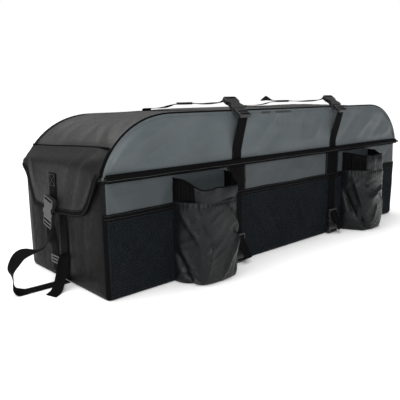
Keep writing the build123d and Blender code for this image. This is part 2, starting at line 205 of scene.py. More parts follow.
def strap(name, line, across, width=web["width"], thick=web["thick"]):
    # flat webbing along a line; across is one direction, or one for each point
    across = unit(np.broadcast_to(np.array(across, float), line.shape))
    places = np.linspace(-0.5, 0.5, 6)
    points = line[:, None, :] + across[:, None, :] * (places[None, :, None] * width)
    facing = gridNormals(points)
    edge = 1 - 0.35 * np.abs(2 * places[None, :, None]) ** 8  # the woven edge is a little thinner
    outer, inner = points + facing * (thick / 2 * edge), points - facing * (thick / 2 * edge)
    run = runLength(line)
    return clothShell(name, outer, inner, places[None, :] * width, run[:, None])


def joined(name, pieces):
    base = pieces[0]
    with bpy.context.temp_override(
        active_object=base, object=base, selected_objects=pieces, selected_editable_objects=pieces
    ):
        bpy.ops.object.join()
    base.name = base.data.name = name
    return base


# materials


def shade(colour, share):
    return tuple(c * share for c in colour)


class Finish:
    # a short way to lay out a node tree
    def __init__(self, name):
        self.material = bpy.data.materials.new(name)
        self.material.use_nodes = True
        self.tree = self.material.node_tree
        self.tree.nodes.clear()
        self.shader = self.add("ShaderNodeBsdfPrincipled")
        end = self.add("ShaderNodeOutputMaterial")
        self.link(self.shader.outputs["BSDF"], end.inputs["Surface"])

    def add(self, kind, **settings):
        node = self.tree.nodes.new(kind)
        for key, value in settings.items():
            setattr(node, key, value)
        return node

    def link(self, a, b):
        self.tree.links.new(a, b)

    def put(self, node, **values):
        for key, value in values.items():
            socket = node.inputs[key.replace("_", " ")]
            if isinstance(value, bpy.types.NodeSocket):
                self.link(value, socket)
            else:
                socket.default_value = value
        return node

    def spot(self, uv, turn=(0, 0, 0)):
        source = self.add("ShaderNodeUVMap", uv_map="cloth") if uv else self.add("ShaderNodeTexCoord")
        mapping = self.add("ShaderNodeMapping")
        self.link(source.outputs["UV" if uv else "Object"], mapping.inputs["Vector"])
        mapping.inputs["Rotation"].default_value = turn
        return mapping.outputs["Vector"]

    def math(self, operation, a, b=0.0):
        node = self.add("ShaderNodeMath", operation=operation)
        for socket, value in zip(node.inputs, (a, b)):
            if isinstance(value, bpy.types.NodeSocket):
                self.link(value, socket)
            else:
                socket.default_value = value
        return node.outputs[0]

    def cloud(self, size, detail=4, rough=0.55):
        node = self.add("ShaderNodeTexNoise")
        self.put(node, Scale=1 / size, Detail=detail, Roughness=rough)
        self.link(self.spot(False), node.inputs["Vector"])
        return node.outputs["Fac"]

    def ridges(self, pitch, direction, where):  # even ribs, pitch in metres
        node = self.add("ShaderNodeTexWave", wave_type="BANDS", bands_direction=direction)
        self.put(node, Scale=math.pi / 10 / pitch, Distortion=0.0, Detail=0.0)
        self.link(where, node.inputs["Vector"])
        return node.outputs["Fac"]

    def blend(self, share, low, high):
        node = self.add("ShaderNodeMix", data_type="RGBA")
        self.link(share, node.inputs["Factor"])
        colours = [s for s in node.inputs if s.type == "RGBA"]
        for socket, value in zip(colours, (low, high)):
            if isinstance(value, bpy.types.NodeSocket):
                self.link(value, socket)
            else:
                socket.default_value = (*value, 1)
        return [s for s in node.outputs if s.type == "RGBA"][0]

    def spread(self, value, low, high, start=0.0, end=1.0):
        node = self.add("ShaderNodeMapRange")
        self.put(node, From_Min=start, From_Max=end, To_Min=low, To_Max=high)
        self.link(value, node.inputs["Value"])
        return node.outputs["Result"]

    def relief(self, layers):  # each layer is (height, depth in metres, strength)
        normal = None
        for height, depth, strength in layers:
            node = self.add("ShaderNodeBump")
            self.put(node, Strength=strength, Distance=depth)
            self.link(height, node.inputs["Height"])
            if normal is not None:
                self.link(normal, node.inputs["Normal"])
            normal = node.outputs["Normal"]
        self.link(normal, self.shader.inputs["Normal"])


def wovenFinish(
    name, colour, rough, pitch, sheen=0.0, blotch=0.16, crinkle=0.25, crinkleSize=0.03, gloss=0.3
):
    # coated cloth: a fine plain weave, a softly uneven colour and small soft creases
    make = Finish(name)
    cloth = make.spot(True)
    warp, weft = make.ridges(pitch, "X", cloth), make.ridges(pitch, "Y", cloth)
    weave = make.math("MULTIPLY", warp, weft)
    patches = make.cloud(0.11, 3)
    dust = make.cloud(0.012, 5)
    tone = make.math("ADD", make.math("MULTIPLY", patches, 0.7), make.math("MULTIPLY", dust, 0.3))
    uneven = make.spread(tone, 0, 1, 0.35, 0.65)
    base = make.blend(uneven, shade(colour, 1 - blotch), shade(colour, 1 + blotch))
    shaded = make.blend(make.spread(weave, 0.0, 1.0, 0.0, 0.4), shade(colour, 0.72), base)
    worn = make.spread(dust, rough - 0.07, rough + 0.09, 0.3, 0.7)
    make.put(make.shader, Base_Color=shaded, Roughness=worn)
    make.put(make.shader, Sheen_Weight=sheen, Sheen_Roughness=0.4, Specular_IOR_Level=gloss)
    folds = make.cloud(crinkleSize, 4, rough=0.5)
    make.relief([(folds, 0.006, crinkle), (weave, 0.0003, 0.35)])
    return make.material


def webbingFinish(name, colour, ribs=0.0021):
    # heavy webbing: ribs across, a herringbone of slanting yarns, and paler worn edges
    make = Finish(name)
    cloth = make.spot(True)
    across = make.ridges(ribs, "Y", cloth)
    slanted = make.ridges(0.0032, "DIAGONAL", cloth)
    weave = make.math("ADD", make.math("MULTIPLY", across, 0.65), make.math("MULTIPLY", slanted, 0.35))
    fuzz = make.cloud(0.006, 5)
    base = make.blend(make.spread(weave, 0, 1, 0.1, 0.9), shade(colour, 0.55), shade(colour, 1.35))
    worn = make.blend(make.spread(fuzz, 0, 0.4, 0.5, 0.75), base, shade(colour, 2.0))
    make.put(make.shader, Base_Color=worn, Roughness=0.7, Specular_IOR_Level=0.04)
    make.relief([(weave, 0.0007, 0.6), (fuzz, 0.0004, 0.3)])
    return make.material


def mouldedFinish(name, colour, rough, grain=0.0016, gloss=0.5):
    make = Finish(name)
    fine = make.cloud(grain, 3)
    broad = make.cloud(0.03, 4)
    base = make.blend(make.spread(broad, 0, 1, 0.35, 0.65), shade(colour, 0.85), shade(colour, 1.2))
    pitted = make.spread(fine, rough - 0.08, rough + 0.1, 0.3, 0.7)
    make.put(make.shader, Base_Color=base, Roughness=pitted, Specular_IOR_Level=gloss)
    make.relief([(fine, 0.0002, 0.25)])
    return make.material


def netFinish(name, colour, gap):
    # the cloth seen through a knitted net: dark holes in a diamond grid
    make = Finish(name)
    cloth = make.spot(True, turn=(0, 0, math.radians(45)))
    strands = make.math("MAXIMUM", make.ridges(0.0036, "X", cloth), make.ridges(0.0036, "Y", cloth))
    base = make.blend(make.spread(strands, 0, 1, 0.55, 0.9), gap, colour)
    make.put(make.shader, Base_Color=base, Roughness=0.7, Specular_IOR_Level=0.04)
    make.relief([(make.cloud(0.05, 4), 0.005, 0.3), (strands, 0.0008, 0.6)])
    return make.material


palette = {
    "shell": (0.0215, 0.0208, 0.0203),
    # the flaps are the shell cloth; their charcoal is darkened to about half as painted shade
    "flap": (0.0105, 0.0102, 0.0100),
    "panel": (0.072, 0.086, 0.0925),
    # the lower front is the lid front's slate cloth, darkened as painted shade under the band
    "shadedLowerPanel": (0.041, 0.050, 0.053),
    "base": (0.0062, 0.0062, 0.0065),
    "net": (0.0024, 0.0036, 0.0050),
    "netGap": (0.0015, 0.002, 0.003),
    "binding": (0.0022, 0.0022, 0.0024),
    "pouch": (0.0065, 0.0074, 0.0080),
    "collar": (0.0050, 0.0062, 0.0080),
    "webbing": (0.0026, 0.0026, 0.0027),
    "plastic": (0.0110, 0.0110, 0.0114),
    "metal": (0.022, 0.022, 0.022),
    "thread": (0.045, 0.047, 0.05),
    "netYarn": (0.034, 0.042, 0.049),
    "coil": (0.011, 0.011, 0.012),
    "darkThread": (0.012, 0.012, 0.013),
    "board": (0.02, 0.02, 0.02),
}
pitch = {"coated": 0.0012, "heavy": 0.0016, "light": 0.0008}  # of each cloth's weave
shellCloth = wovenFinish(
    "coated charcoal cloth", palette["shell"], 0.43, pitch["coated"], crinkle=0.2, gloss=0.3
)
# the shell cloth again, darker as painted shade on the hanging flaps
flapShadeCloth = wovenFinish(
    "coated charcoal cloth of the flaps", palette["flap"], 0.45, pitch["coated"], crinkle=0.2, gloss=0.14
)
panelCloth = wovenFinish(
    "coated slate cloth", palette["panel"], 0.45, pitch["coated"], sheen=0.05, crinkle=0.16
)
# the same slate cloth as the lid front, darker as painted shade on the lower front
shadedLowerPanelCloth = wovenFinish(
    "slate cloth darkened with painted shade on the lower front", palette["shadedLowerPanel"], 0.45, pitch["coated"], crinkle=0.2
)
baseCloth = wovenFinish(
    "heavy black base cloth", palette["base"], 0.5, pitch["heavy"], crinkle=0.2, gloss=0.07
)
pouchCloth = wovenFinish(
    "light creased nylon",
    palette["pouch"],
    0.3,
    pitch["light"],
    blotch=0.15,
    crinkle=0.28,
    crinkleSize=0.04,
    gloss=0.17,
)
collarCloth = wovenFinish(
    "light gathered nylon",
    palette["collar"],
    0.38,
    pitch["light"],
    blotch=0.15,
    crinkle=0.35,
    crinkleSize=0.02,
    gloss=0.18,
)
bindingCloth = webbingFinish("ribbed binding tape", palette["binding"], ribs=0.0016)
webbing = webbingFinish("black webbing", palette["webbing"])
netCloth = netFinish("knitted net over dark cloth", palette["net"], palette["netGap"])
netYarn = mouldedFinish("net yarn", palette["netYarn"], 0.5, gloss=0.15)
zipTapeCloth = webbingFinish("woven zip tape", palette["binding"], ribs=0.0012)
coilNylon = mouldedFinish("zip coil nylon", palette["coil"], 0.35)
buckleResin = mouldedFinish("moulded buckle resin", palette["plastic"], 0.34, gloss=0.38)
zincPaint = mouldedFinish("black enamelled zinc", palette["metal"], 0.3)
threadTwist = mouldedFinish("sewing thread", palette["thread"], 0.6, grain=0.0008)
darkThread = mouldedFinish("black sewing thread", palette["darkThread"], 0.6, grain=0.0008)
boardPlastic = mouldedFinish("twin wall board", palette["board"], 0.5)
print("finishes made")


def place(piece, body, slot, materials, *replaced):
    if not piece.data.materials:
        for material in materials:
            piece.data.materials.append(material)
    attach(piece, body)
    if replaced:
        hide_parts(*replaced)
    return piece


def refinish(name, material):  # a frame node whose own shape is right
    node = nodes[name]
    if not node.material_slots:
        node.data.materials.append(material)
    for slot in node.material_slots:
        slot.material = material


# trees that repeat a small shape along a line


def wire(tree, *links):  # each link is (from node, output, to node, input)
    for source, output, target, socket in links:
        tree.links.new(source.outputs[output], target.inputs[socket])


def newTree(name, inputs):
    # a tree that takes lines and the named inputs, and gives plain painted geometry
    tree = bpy.data.node_groups.new(name, "GeometryNodeTree")
    sockets = {"Geometry": "Geometry", **inputs, "material": "Material"}
    for label, kind in sockets.items():
        tree.interface.new_socket(label, in_out="INPUT", socket_type="NodeSocket" + kind)
    tree.interface.new_socket("Geometry", in_out="OUTPUT", socket_type="NodeSocketGeometry")
    add = tree.nodes.new
    start, end = add("NodeGroupInput"), add("NodeGroupOutput")
    real, paint = add("GeometryNodeRealizeInstances"), add("GeometryNodeSetMaterial")
    wire(
        tree,
        (real, "Geometry", paint, "Geometry"),
        (start, "material", paint, "Material"),
        (paint, "Geometry", end, "Geometry"),
    )
    return tree, start, real


def repeatTree(name, axis):
    # a small rod again and again along each line; axis is the one of its own that follows the line
    tree, start, real = newTree(name, {"spacing": "Float", "length": "Float", "radius": "Float"})
    add = tree.nodes.new
    spaced, shape = add("GeometryNodeResampleCurve"), add("GeometryNodeMeshCylinder")
    spaced.mode = "LENGTH"
    shape.inputs["Vertices"].default_value = 6
    turn, tangent = add("FunctionNodeAlignRotationToVector"), add("GeometryNodeInputTangent")
    turn.axis = axis
    copies = add("GeometryNodeInstanceOnPoints")
    wire(
        tree,
        (start, "Geometry", spaced, "Curve"),
        (start, "spacing", spaced, "Length"),
        (start, "length", shape, "Depth"),
        (start, "radius", shape, "Radius"),
        (spaced, "Curve", copies, "Points"),
        (shape, "Mesh", copies, "Instance"),
        (tangent, "Tangent", turn, "Vector"),
        (turn, "Rotation", copies, "Rotation"),
        (copies, "Instances", real, "Geometry"),
    )
    return tree


def tubeTree(name):  # each line becomes a thin yarn or a round piping
    tree, start, real = newTree(name, {"radius": "Float", "sides": "Int"})
    ring = tree.nodes.new("GeometryNodeCurvePrimitiveCircle")
    tube = tree.nodes.new("GeometryNodeCurveToMesh")
    tube.inputs["Fill Caps"].default_value = True
    wire(
        tree,
        (start, "radius", ring, "Radius"),
        (start, "sides", ring, "Resolution"),
        (start, "Geometry", tube, "Curve"),
        (ring, "Curve", tube, "Profile Curve"),
        (tube, "Mesh", real, "Geometry"),
    )
    return tree


stitchTree = repeatTree("stitches along a seam", "Z")
toothTree = repeatTree("teeth along a zip", "X")
yarnTree = tubeTree("yarn along a line")


def grown(name, lines, tree, **inputs):
    # puts the lines in a curve, lets the tree grow on it, and keeps the plain mesh
    curve = bpy.data.curves.new(name + "Lines", "CURVE")
    curve.dimensions = "3D"
    for line in lines:
        spline = curve.splines.new("POLY")
        spline.points.add(len(line) - 1)
        flat = np.hstack([line, np.ones((len(line), 1))]).ravel()
        spline.points.foreach_set("co", flat.astype(np.float32))
    guide = linked(name + "Lines", curve)
    modifier = guide.modifiers.new("grow", "NODES")
    modifier.node_group = tree
    for item in tree.interface.items_tree:
        if item.item_type == "SOCKET" and item.in_out == "INPUT" and item.name in inputs:
            modifier[item.identifier] = inputs[item.name]
    bpy.context.view_layer.update()
    ready = guide.evaluated_get(bpy.context.evaluated_depsgraph_get())
    mesh = bpy.data.meshes.new_from_object(ready)
    mesh.name = name
    bpy.data.objects.remove(guide)
    for polygon in mesh.polygons:
        polygon.use_smooth = True
    mesh.set_sharp_from_angle(angle=sharpAngle)
    return linked(name, mesh)


def piped(name, lines, radius, sides, material=bindingCloth):
    return grown(name, lines, yarnTree, radius=radius, sides=sides, material=material)


stitch = {"spacing": 0.0046, "length": 0.0036, "radius": 0.00045}


def stitches(name, lines, body, slot, material=None, **sizes):
    material = material or threadTwist
    piece = grown(name, lines, stitchTree, **{**stitch, **sizes}, material=material)
    return place(piece, body, slot, [material])


# the shape of the tub: a soft loop of cloth round the base


upperFolds = [
    ((-0.66, 0.232), (-0.60, 0.296), 0.0022),
    ((-0.63, 0.226), (-0.55, 0.290), -0.0024),
    ((-0.545, 0.226), (-0.500, 0.286), 0.0026),
    ((-0.22, 0.250), (-0.10, 0.294), 0.0018),
    ((-0.05, 0.228), (0.02, 0.290), -0.0018),
    ((0.10, 0.230), (0.16, 0.285), 0.0016),
    ((0.52, 0.232), (0.60, 0.292), 0.0022),
    ((0.60, 0.228), (0.67, 0.284), -0.0022),
]
netFolds = [
    ((-0.70, 0.190), (-0.60, 0.080), -0.0030),
    ((-0.66, 0.060), (-0.54, 0.160), 0.0028),
    ((-0.60, 0.020), (-0.51, 0.120), -0.0024),
    ((-0.20, 0.190), (-0.10, 0.050), 0.0026),
    ((-0.12, 0.180), (-0.03, 0.040), -0.0030),
    ((0.02, 0.190), (0.10, 0.060), 0.0028),
    ((0.12, 0.170), (0.18, 0.050), -0.0024),
    ((0.56, 0.180), (0.64, 0.060), 0.0026),
]


def frontRelief(x, z):
    # how far the front bellies out or sags in, in metres
    free = ramp(0.302 - z, 0, 0.045) * ramp(z, 0.0, 0.05)
    calm = 1 - 0.9 * bump(np.abs(x), strapX, 0.05)
    sag = crumple(x, 0, z, 0.17, 3.1) * 0.0035 + crumple(x, 0, z, 0.06, 8.4) * 0.0012
    lean = x + (z - 0.24) * 0.45
    tucks = -0.0032 * bump(lean, -0.686, 0.006) + 0.0018 * bump(lean, -0.674, 0.008)
    tucks = tucks + foldsOf(x, z, upperFolds, 0.009)
    upper = ramp(z, 0.19, 0.235)
    lower = foldsOf(x, z, netFolds, 0.012) * (1 - upper) * ramp(z, 0.0, 0.03)
    return (sag * free + lower) * calm + tucks * upper * ramp(0.306 - z, 0, 0.02)


def endRelief(side, y, z):
    free = ramp(0.30 - z, 0, 0.06) * ramp(z, 0.0, 0.04) * ramp(halfDepth - np.abs(y), 0, 0.05)
    calm = 1 - 0.95 * bump(y, 0.05, 0.035) * bump(z, 0.05, 0.06)
    belly = 0.0045 + crumple(y, side, z, 0.15, 1.7) * 0.003
    pleats = crease(y * 1.3, side, z * 0.35, 0.06, 2.2) * 0.0008
    low = bump(z, 0.035, 0.03) * bump(y, -0.16, 0.06)
    kinks = crease(y * 0.5 + z, side, z * 1.3, 0.03, 4.0) * 0.0016 * low
    return (belly + pleats + kinks) * free * calm


def backRelief(x, z):
    free = ramp(0.30 - z, 0, 0.05) * ramp(z, 0.0, 0.05)
    return (crumple(x, 1, z, 0.16, 6.6) * 0.004 + 0.002) * free


def tubRelief(x, y, nx, ny, z):
    out = np.clip(-ny, 0, 1) ** 2 * frontRelief(x, z)
    out = out + nx**2 * endRelief(np.sign(nx), y, z)
    return out + np.clip(ny, 0, 1) ** 2 * backRelief(x, z)


def loopRound(radius=cornerRound, step=0.010, arcs=6):
    # points and outward directions round the bag, from the middle of the back by way of the left end
    inX, inY = halfLength - radius, halfDepth - radius
    places, outs = [], []

    def side(start, end, out):
        count = int(round(math.dist(start, end) / step))
        for t in np.linspace(0, 1, count + 1)[1:-1]:
            places.append([start[k] + (end[k] - start[k]) * t for k in (0, 1)])
            outs.append(out)

    def turn(middle, angle):
        for a in np.radians(np.linspace(angle, angle + 90, arcs + 1)):
            places.append([middle[0] + radius * math.cos(a), middle[1] + radius * math.sin(a)])
            outs.append([math.cos(a), math.sin(a)])

    places.append([0, halfDepth])
    outs.append([0, 1])
    side((0, halfDepth), (-inX, halfDepth), (0, 1))
    turn((-inX, inY), 90)
    side((-halfLength, inY), (-halfLength, -inY), (-1, 0))
    turn((-inX, -inY), 180)
    side((-inX, -halfDepth), (inX, -halfDepth), (0, -1))
    turn((inX, -inY), 270)
    side((halfLength, -inY), (halfLength, inY), (1, 0))
    turn((inX, inY), 0)
    side((inX, halfDepth), (0, halfDepth), (0, 1))
    places.append([0, halfDepth])
    outs.append([0, 1])
    places, outs = np.array(places), np.array(outs)
    return places, outs, runLength(places)


def tubPoint(places, outs, z, out=0.0):
    # the tub's outer face at these places round it, at height z, plus out
    x, y, nx, ny = places[..., 0], places[..., 1], outs[..., 0], outs[..., 1]
    away = tubRelief(x, y, nx, ny, z) + out
    away = away - 0.007 * (1 - ramp(z, -0.004, 0.014)) ** 2
    return spots(x + nx * away, y + ny * away, z)


loopPlaces, loopOuts, loopRun = loopRound()


def onFront(x, z, out=0.0):
    # the face of the front at x, which runs on half way round each corner
    x, z = np.broadcast_arrays(np.asarray(x, float), np.asarray(z, float))
    past = np.clip((np.abs(x) - (halfLength - cornerRound)) / cornerRound, 0, 1) * math.pi / 4
    sideways = np.sign(x) * np.sin(past)
    px = np.where(past > 0, np.sign(x) * (halfLength - cornerRound) + cornerRound * sideways, x)
    py = -(halfDepth - cornerRound) - cornerRound * np.cos(past)
    places = np.stack([px, py], -1)
    outs = np.stack([sideways, -np.cos(past)], -1)
    return tubPoint(places, outs, z, out)


def onEnd(side, y, z, out=0.0):
    y, z = np.broadcast_arrays(np.asarray(y, float), np.asarray(z, float))
    places = np.stack([0 * y + side * halfLength, y], -1)
    outs = np.stack([0 * y + side, 0 * y], -1)
    return tubPoint(places, outs, z, out)


tub = {"wall": 0.008, "rowStep": 0.009, "greyFrom": 0.205}
heights = np.concatenate([[0, 0.003, 0.007, 0.012], np.linspace(0.020, tubTop, 33)])
outer = tubPoint(loopPlaces[None], loopOuts[None], heights[:, None])
inner = outer.copy()
inner[..., :2] -= loopOuts[None] * tub["wall"]
inner[:4, :, 2] += np.array([0.004, 0.003, 0.002, 0.001])[:, None]
# above greyFrom the front takes the slate cloth darkened as painted shade; below it the black base cloth
isFront = loopOuts[:-1, 1] < -0.72
paint = (isFront[None, :] & (heights[:-1, None] > tub["greyFrom"])).astype(int)
tubShell = clothShell("tubShell", outer, inner, loopRun[None, :], heights[:, None], paint, wrap=True)
place(
    tubShell,
    "tub",
    "base_fabric",
    [baseCloth, shadedLowerPanelCloth],
    "tub_front_panel",
    "tub_back_panel",
    "tub_left_panel",
    "tub_right_panel",
)

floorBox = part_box("floor_panel")
xs = np.linspace(-halfLength + 0.012, halfLength - 0.012, 90)
ys = np.linspace(-halfDepth + 0.012, halfDepth - 0.012, 34)
gx, gy = np.meshgrid(xs, ys)
lift = crumple(gx, gy, 0, 0.12, 9.0) * 0.0006
quilt = 0.0012 * (1 - np.abs(np.sin(gx * 26)) ** 0.3)
under = spots(gx, gy, 0.0007 + np.clip(lift, -0.0005, 0.001))
over = spots(gx, gy, floorBox[1].z - quilt)
tubFloor = clothShell("tubFloor", under, over, gx, gy)
place(tubFloor, "tub", "base_fabric", [baseCloth], "floor_panel")
refinish("floor_board", boardPlastic)
print("tub made")

# nets over the front, with binding along their tops
net = {"top": 0.208, "foot": 0.006, "thick": 0.0008, "stand": 0.0010, "cell": 0.0058, "yarn": 0.00042}
bays = {
    "Left": (-halfLength, -0.495),
    "Centre": (-0.300, 0.318),
    "Right": (0.498, halfLength),
}
binding = {"low": 0.208, "high": 0.224, "thick": 0.0020, "step": 0.008}
bindings = []
for side, (start, end) in bays.items():
    xs = np.linspace(start, end, int((end - start) / binding["step"]) + 1)
    zs = np.linspace(net["foot"], net["top"], 26)
    face = onFront(xs[None, :], zs[:, None], net["stand"])
    pocket = sheetAround(f"netPocket{side}", face, net["thick"], xs[None, :], zs[:, None])
    place(pocket, "tub", "mesh", [netCloth], f"mesh_pocket_{side.lower()}")
    lines, half = [], net["cell"] / 2
    count = int((end - start) / half / 2)
    steps = np.arange(net["foot"] + 0.002, net["top"], half)
    for k in range(count):
        middle = start + 0.003 + k * net["cell"]
        wave = np.where(np.arange(len(steps)) % 2 == 0, 1, -1) * (1 if k % 2 else -1) * half
        lines.append(onFront(np.clip(middle + wave, start, end), steps, net["stand"] + 0.0008))
    yarn = piped(f"netYarn{side}", lines, net["yarn"], 3, netYarn)
    place(yarn, "tub", "mesh", [netYarn])
    flat = (end - start, net["top"] - net["foot"])
    zs = np.linspace(binding["low"] - 0.002, binding["high"], 5)
    pull = crumple(xs, 0, 0, 0.09, 2.5)[None, :] * 0.0008
    face = onFront(xs[None, :], zs[:, None] + pull, 0.0016)
    bindings.append(sheetAround("binding" + side, face, binding["thick"], xs[None, :], zs[:, None]))
pocketBinding = joined("pocketBinding", bindings)
place(pocketBinding, "tub", "binding_tape", [bindingCloth], "mesh_binding")

# a bound edge down each front corner
edging = {"foot": 0.004, "top": 0.222, "width": 0.010}
strips = []
for side in (-1, 1):
    zs = np.linspace(edging["foot"], edging["top"], 26)
    turn = np.linspace(-1, 1, 5) * edging["width"] / 2
    angle = math.pi / 4 + turn / cornerRound
    outs = np.stack([side * np.sin(angle), -np.cos(angle)], -1)
    places = [side * (halfLength - cornerRound), cornerRound - halfDepth] + cornerRound * outs
    face = tubPoint(places[None], outs[None], zs[:, None], 0.0016)
    strips.append(sheetAround("edge", face, 0.0026, turn[None, :], zs[:, None]))
cornerBinding = joined("cornerBinding", strips)
place(cornerBinding, "tub", "binding_tape", [bindingCloth])

seams = []
for start, end in bays.values():
    xs = np.linspace(start + 0.002, end - 0.002, int((end - start) / 0.006))
    for z in (binding["low"] + 0.0035, binding["high"] - 0.003):
        seams.append(onFront(xs, z, 0.0028))
stitches("pocketStitches", seams, "tub", "binding_tape", darkThread)
print("nets made")

# zip: tape and teeth on the tub and on the lid
zipSizes = {
    "tape": 0.0012,
    "height": 0.010,
    "back": 0.190,
    "tooth": 0.0030,
    "toothRadius": 0.0010,
    "pitch": 0.0024,
    "tapeOut": 0.0009,
    "teethOut": 0.0026,
}
reached = (loopPlaces[:, 1] < zipSizes["back"]) & (loopPlaces[:, 1] < halfDepth - 0.001)
zipPlaces, zipOuts = loopPlaces[reached], loopOuts[reached]
zipRun = runLength(zipPlaces)


def besideZip(out, z):
    return beside(zipPlaces, zipOuts, out, z)


for body, low, high, teethZ, nodeName in (
    ("tub", tubTop - zipSizes["height"], tubTop, tubTop - 0.0018, "tub_zip"),
    ("lid", lidBase, lidBase + zipSizes["height"], lidBase + 0.0018, "lid_zip"),
):
    zs = np.linspace(low, high, 4)
    face = besideZip(zipSizes["tapeOut"], zs[:, None])
    tape = sheetAround(f"{body}ZipTape", face, zipSizes["tape"], zipRun[None, :], zs[:, None])
    place(tape, body, "zip_tape", [zipTapeCloth], f"{nodeName}_tape")
    teeth = grown(
        f"{body}ZipTeeth",
        [evenLine(besideZip(zipSizes["teethOut"], teethZ), 0.004)],
        toothTree,
        spacing=zipSizes["pitch"],
        length=zipSizes["tooth"],
        radius=zipSizes["toothRadius"],
        material=coilNylon,
    )
    place(teeth, body, "zip_coil", [coilNylon], f"{nodeName}_coil")
    seam = besideZip(zipSizes["teethOut"] - 0.0009, (low + 0.003) if body == "tub" else (high - 0.003))
    stitches(f"{body}ZipStitches", [evenLine(seam, 0.01)], body, "zip_tape", darkThread)
for name in ("front_zip_slider", "front_zip_pull", "end_zip_slider", "end_zip_pull"):
    refinish(name, zincPaint)

# the lid: a crowned arch of cloth with piping round both edges


def archRise(far):  # how high the curve is, as a share, at this share of the way out
    return (1 - np.clip(far, 0, 1) ** arch["fullness"]) ** arch["shoulder"]


def archOut(line):  # outward directions along a line that runs left to right over the top
    along = unit(np.gradient(line, axis=0))
    return np.stack([-along[:, 1], along[:, 0]], -1)


arch = {"fullness": 2.4, "shoulder": 0.66, "sagBack": 0.014, "sagTop": 0.007}


def settle(points):  # the lid's left end sinks a little towards the back, where nothing holds it
    x, y, z = points[..., 0], points[..., 1], points[..., 2]
    low = arch["sagTop"] * ramp(-x, 0.10, 0.40)
    low = low + (arch["sagBack"] - arch["sagTop"]) * ramp(-x, 0.45, 0.66)
    low = low * ramp(y, -halfDepth, halfDepth) * ramp(z, 0.322, 0.372)
    sunk = points.copy()
    sunk[..., 2] = z - low
    return sunk


def archLine(grow=0.0, step=0.010):
    # up the left curve, along the top and down the right curve, as (x, z)
    up = lidTop - lidBase
    far = np.cos(np.radians(np.linspace(0, 90, 90)))
    left = np.stack([-(halfLength - curveLength) - curveLength * far, lidBase + up * archRise(far)], -1)
    left = left + archOut(left) * grow
    right = left[::-1] * [-1, 1]
    return evenLine(np.vstack([left, right]), step)


topFolds = [
    ((0.660, -0.175), (0.600, -0.120), 0.0030),
    ((0.650, -0.200), (0.590, -0.155), -0.0028),
    ((0.660, -0.140), (0.610, -0.085), -0.0024),
    ((0.650, -0.110), (0.600, -0.050), 0.0020),
    ((0.640, 0.060), (0.560, 0.020), 0.0020),
    ((0.620, 0.130), (0.520, 0.090), -0.0024),
    ((0.600, 0.170), (0.500, 0.140), 0.0026),
]


def topRelief(x, y, z):
    inward = ramp(halfDepth - np.abs(y), 0.0, 0.05)
    swell = 0.0022 * inward * ramp(z, lidBase, lidBase + 0.05)
    sag = crumple(x, y, z, 0.20, 4.4) * 0.003 * inward * ramp(z, lidBase, lidBase + 0.04)
    edge = -0.004 * bump(np.abs(y), halfDepth, 0.010)
    crossed = -0.0030 * bump(z, 0.381, 0.005)  # the seam the end flaps hang from
    streaks = crease(x * 0.16, y * 0.8 + x * 0.12, z * 0.16, 0.045, 3.9) * 0.0022
    streaks = streaks * ramp(np.abs(x), 0.30, 0.44) * (1 - ramp(np.abs(x), 0.63, 0.69))
    streaks = streaks * ramp(y, -0.20, 0.02)
    pucker = foldsOf(-x, y, topFolds, 0.010) * ramp(-x, 0.5, 0.56) * ramp(z, 0.385, 0.395)
    ruck = crease(x * 0.3, y * 0.35, z * 1.5, 0.05, 7.7) * 0.0009 * inward * ramp(np.abs(x), 0.46, 0.56)
    return swell + sag + edge + crossed + ruck + streaks * inward + pucker * inward


archBase = archLine()
archNormals = archOut(archBase)
archRun = runLength(archBase)
rowsY = np.concatenate(
    [
        [-halfDepth, -halfDepth + 0.003, -halfDepth + 0.007, -halfDepth + 0.013],
        np.linspace(-halfDepth + 0.022, halfDepth - 0.022, 40),
        [halfDepth - 0.013, halfDepth - 0.007, halfDepth - 0.003, halfDepth],
    ]
)
gx = archBase[None, :, 0] + 0 * rowsY[:, None]
gz = archBase[None, :, 1] + 0 * rowsY[:, None]
gy = rowsY[:, None] + 0 * archRun[None]
away = topRelief(gx, gy, gz)


lidWall = 0.007
faces = []
for out in (away, away - lidWall):
    z = np.maximum(gz + archNormals[None, :, 1] * out, lidBase)
    faces.append(settle(spots(gx + archNormals[None, :, 0] * out, gy, z)))
lidTopShell = clothShell("lidTopShell", *faces, archRun[None, :], rowsY[:, None])
place(lidTopShell, "lid", "shell_fabric", [shellCloth], "lid_top_panel")


lidFolds = [
    ((-0.66, 0.360), (-0.50, 0.435), 0.0051),
    ((-0.60, 0.335), (-0.42, 0.425), -0.0058),
    ((-0.52, 0.335), (-0.36, 0.400), 0.0048),
    ((-0.40, 0.350), (-0.30, 0.440), -0.0044),
    ((-0.20, 0.335), (-0.08, 0.430), 0.0048),
    ((-0.12, 0.330), (-0.03, 0.400), -0.0041),
    ((0.05, 0.335), (0.08, 0.440), -0.0037),
    ((0.10, 0.345), (0.18, 0.430), 0.0051),
    ((-0.13, 0.405), (-0.12, 0.470), -0.0040),
    ((-0.09, 0.395), (-0.08, 0.470), 0.0040),
    ((-0.05, 0.415), (-0.04, 0.470), -0.0044),
    ((0.07, 0.400), (0.09, 0.470), -0.0044),
    ((0.11, 0.410), (0.12, 0.470), 0.0040),
    ((0.16, 0.415), (0.15, 0.470), -0.0037),
    ((0.30, 0.340), (0.40, 0.430), -0.0051),
    ((0.38, 0.335), (0.50, 0.415), 0.0054),
    ((0.50, 0.335), (0.60, 0.400), -0.0051),
    ((0.58, 0.330), (0.66, 0.370), 0.0041),
]


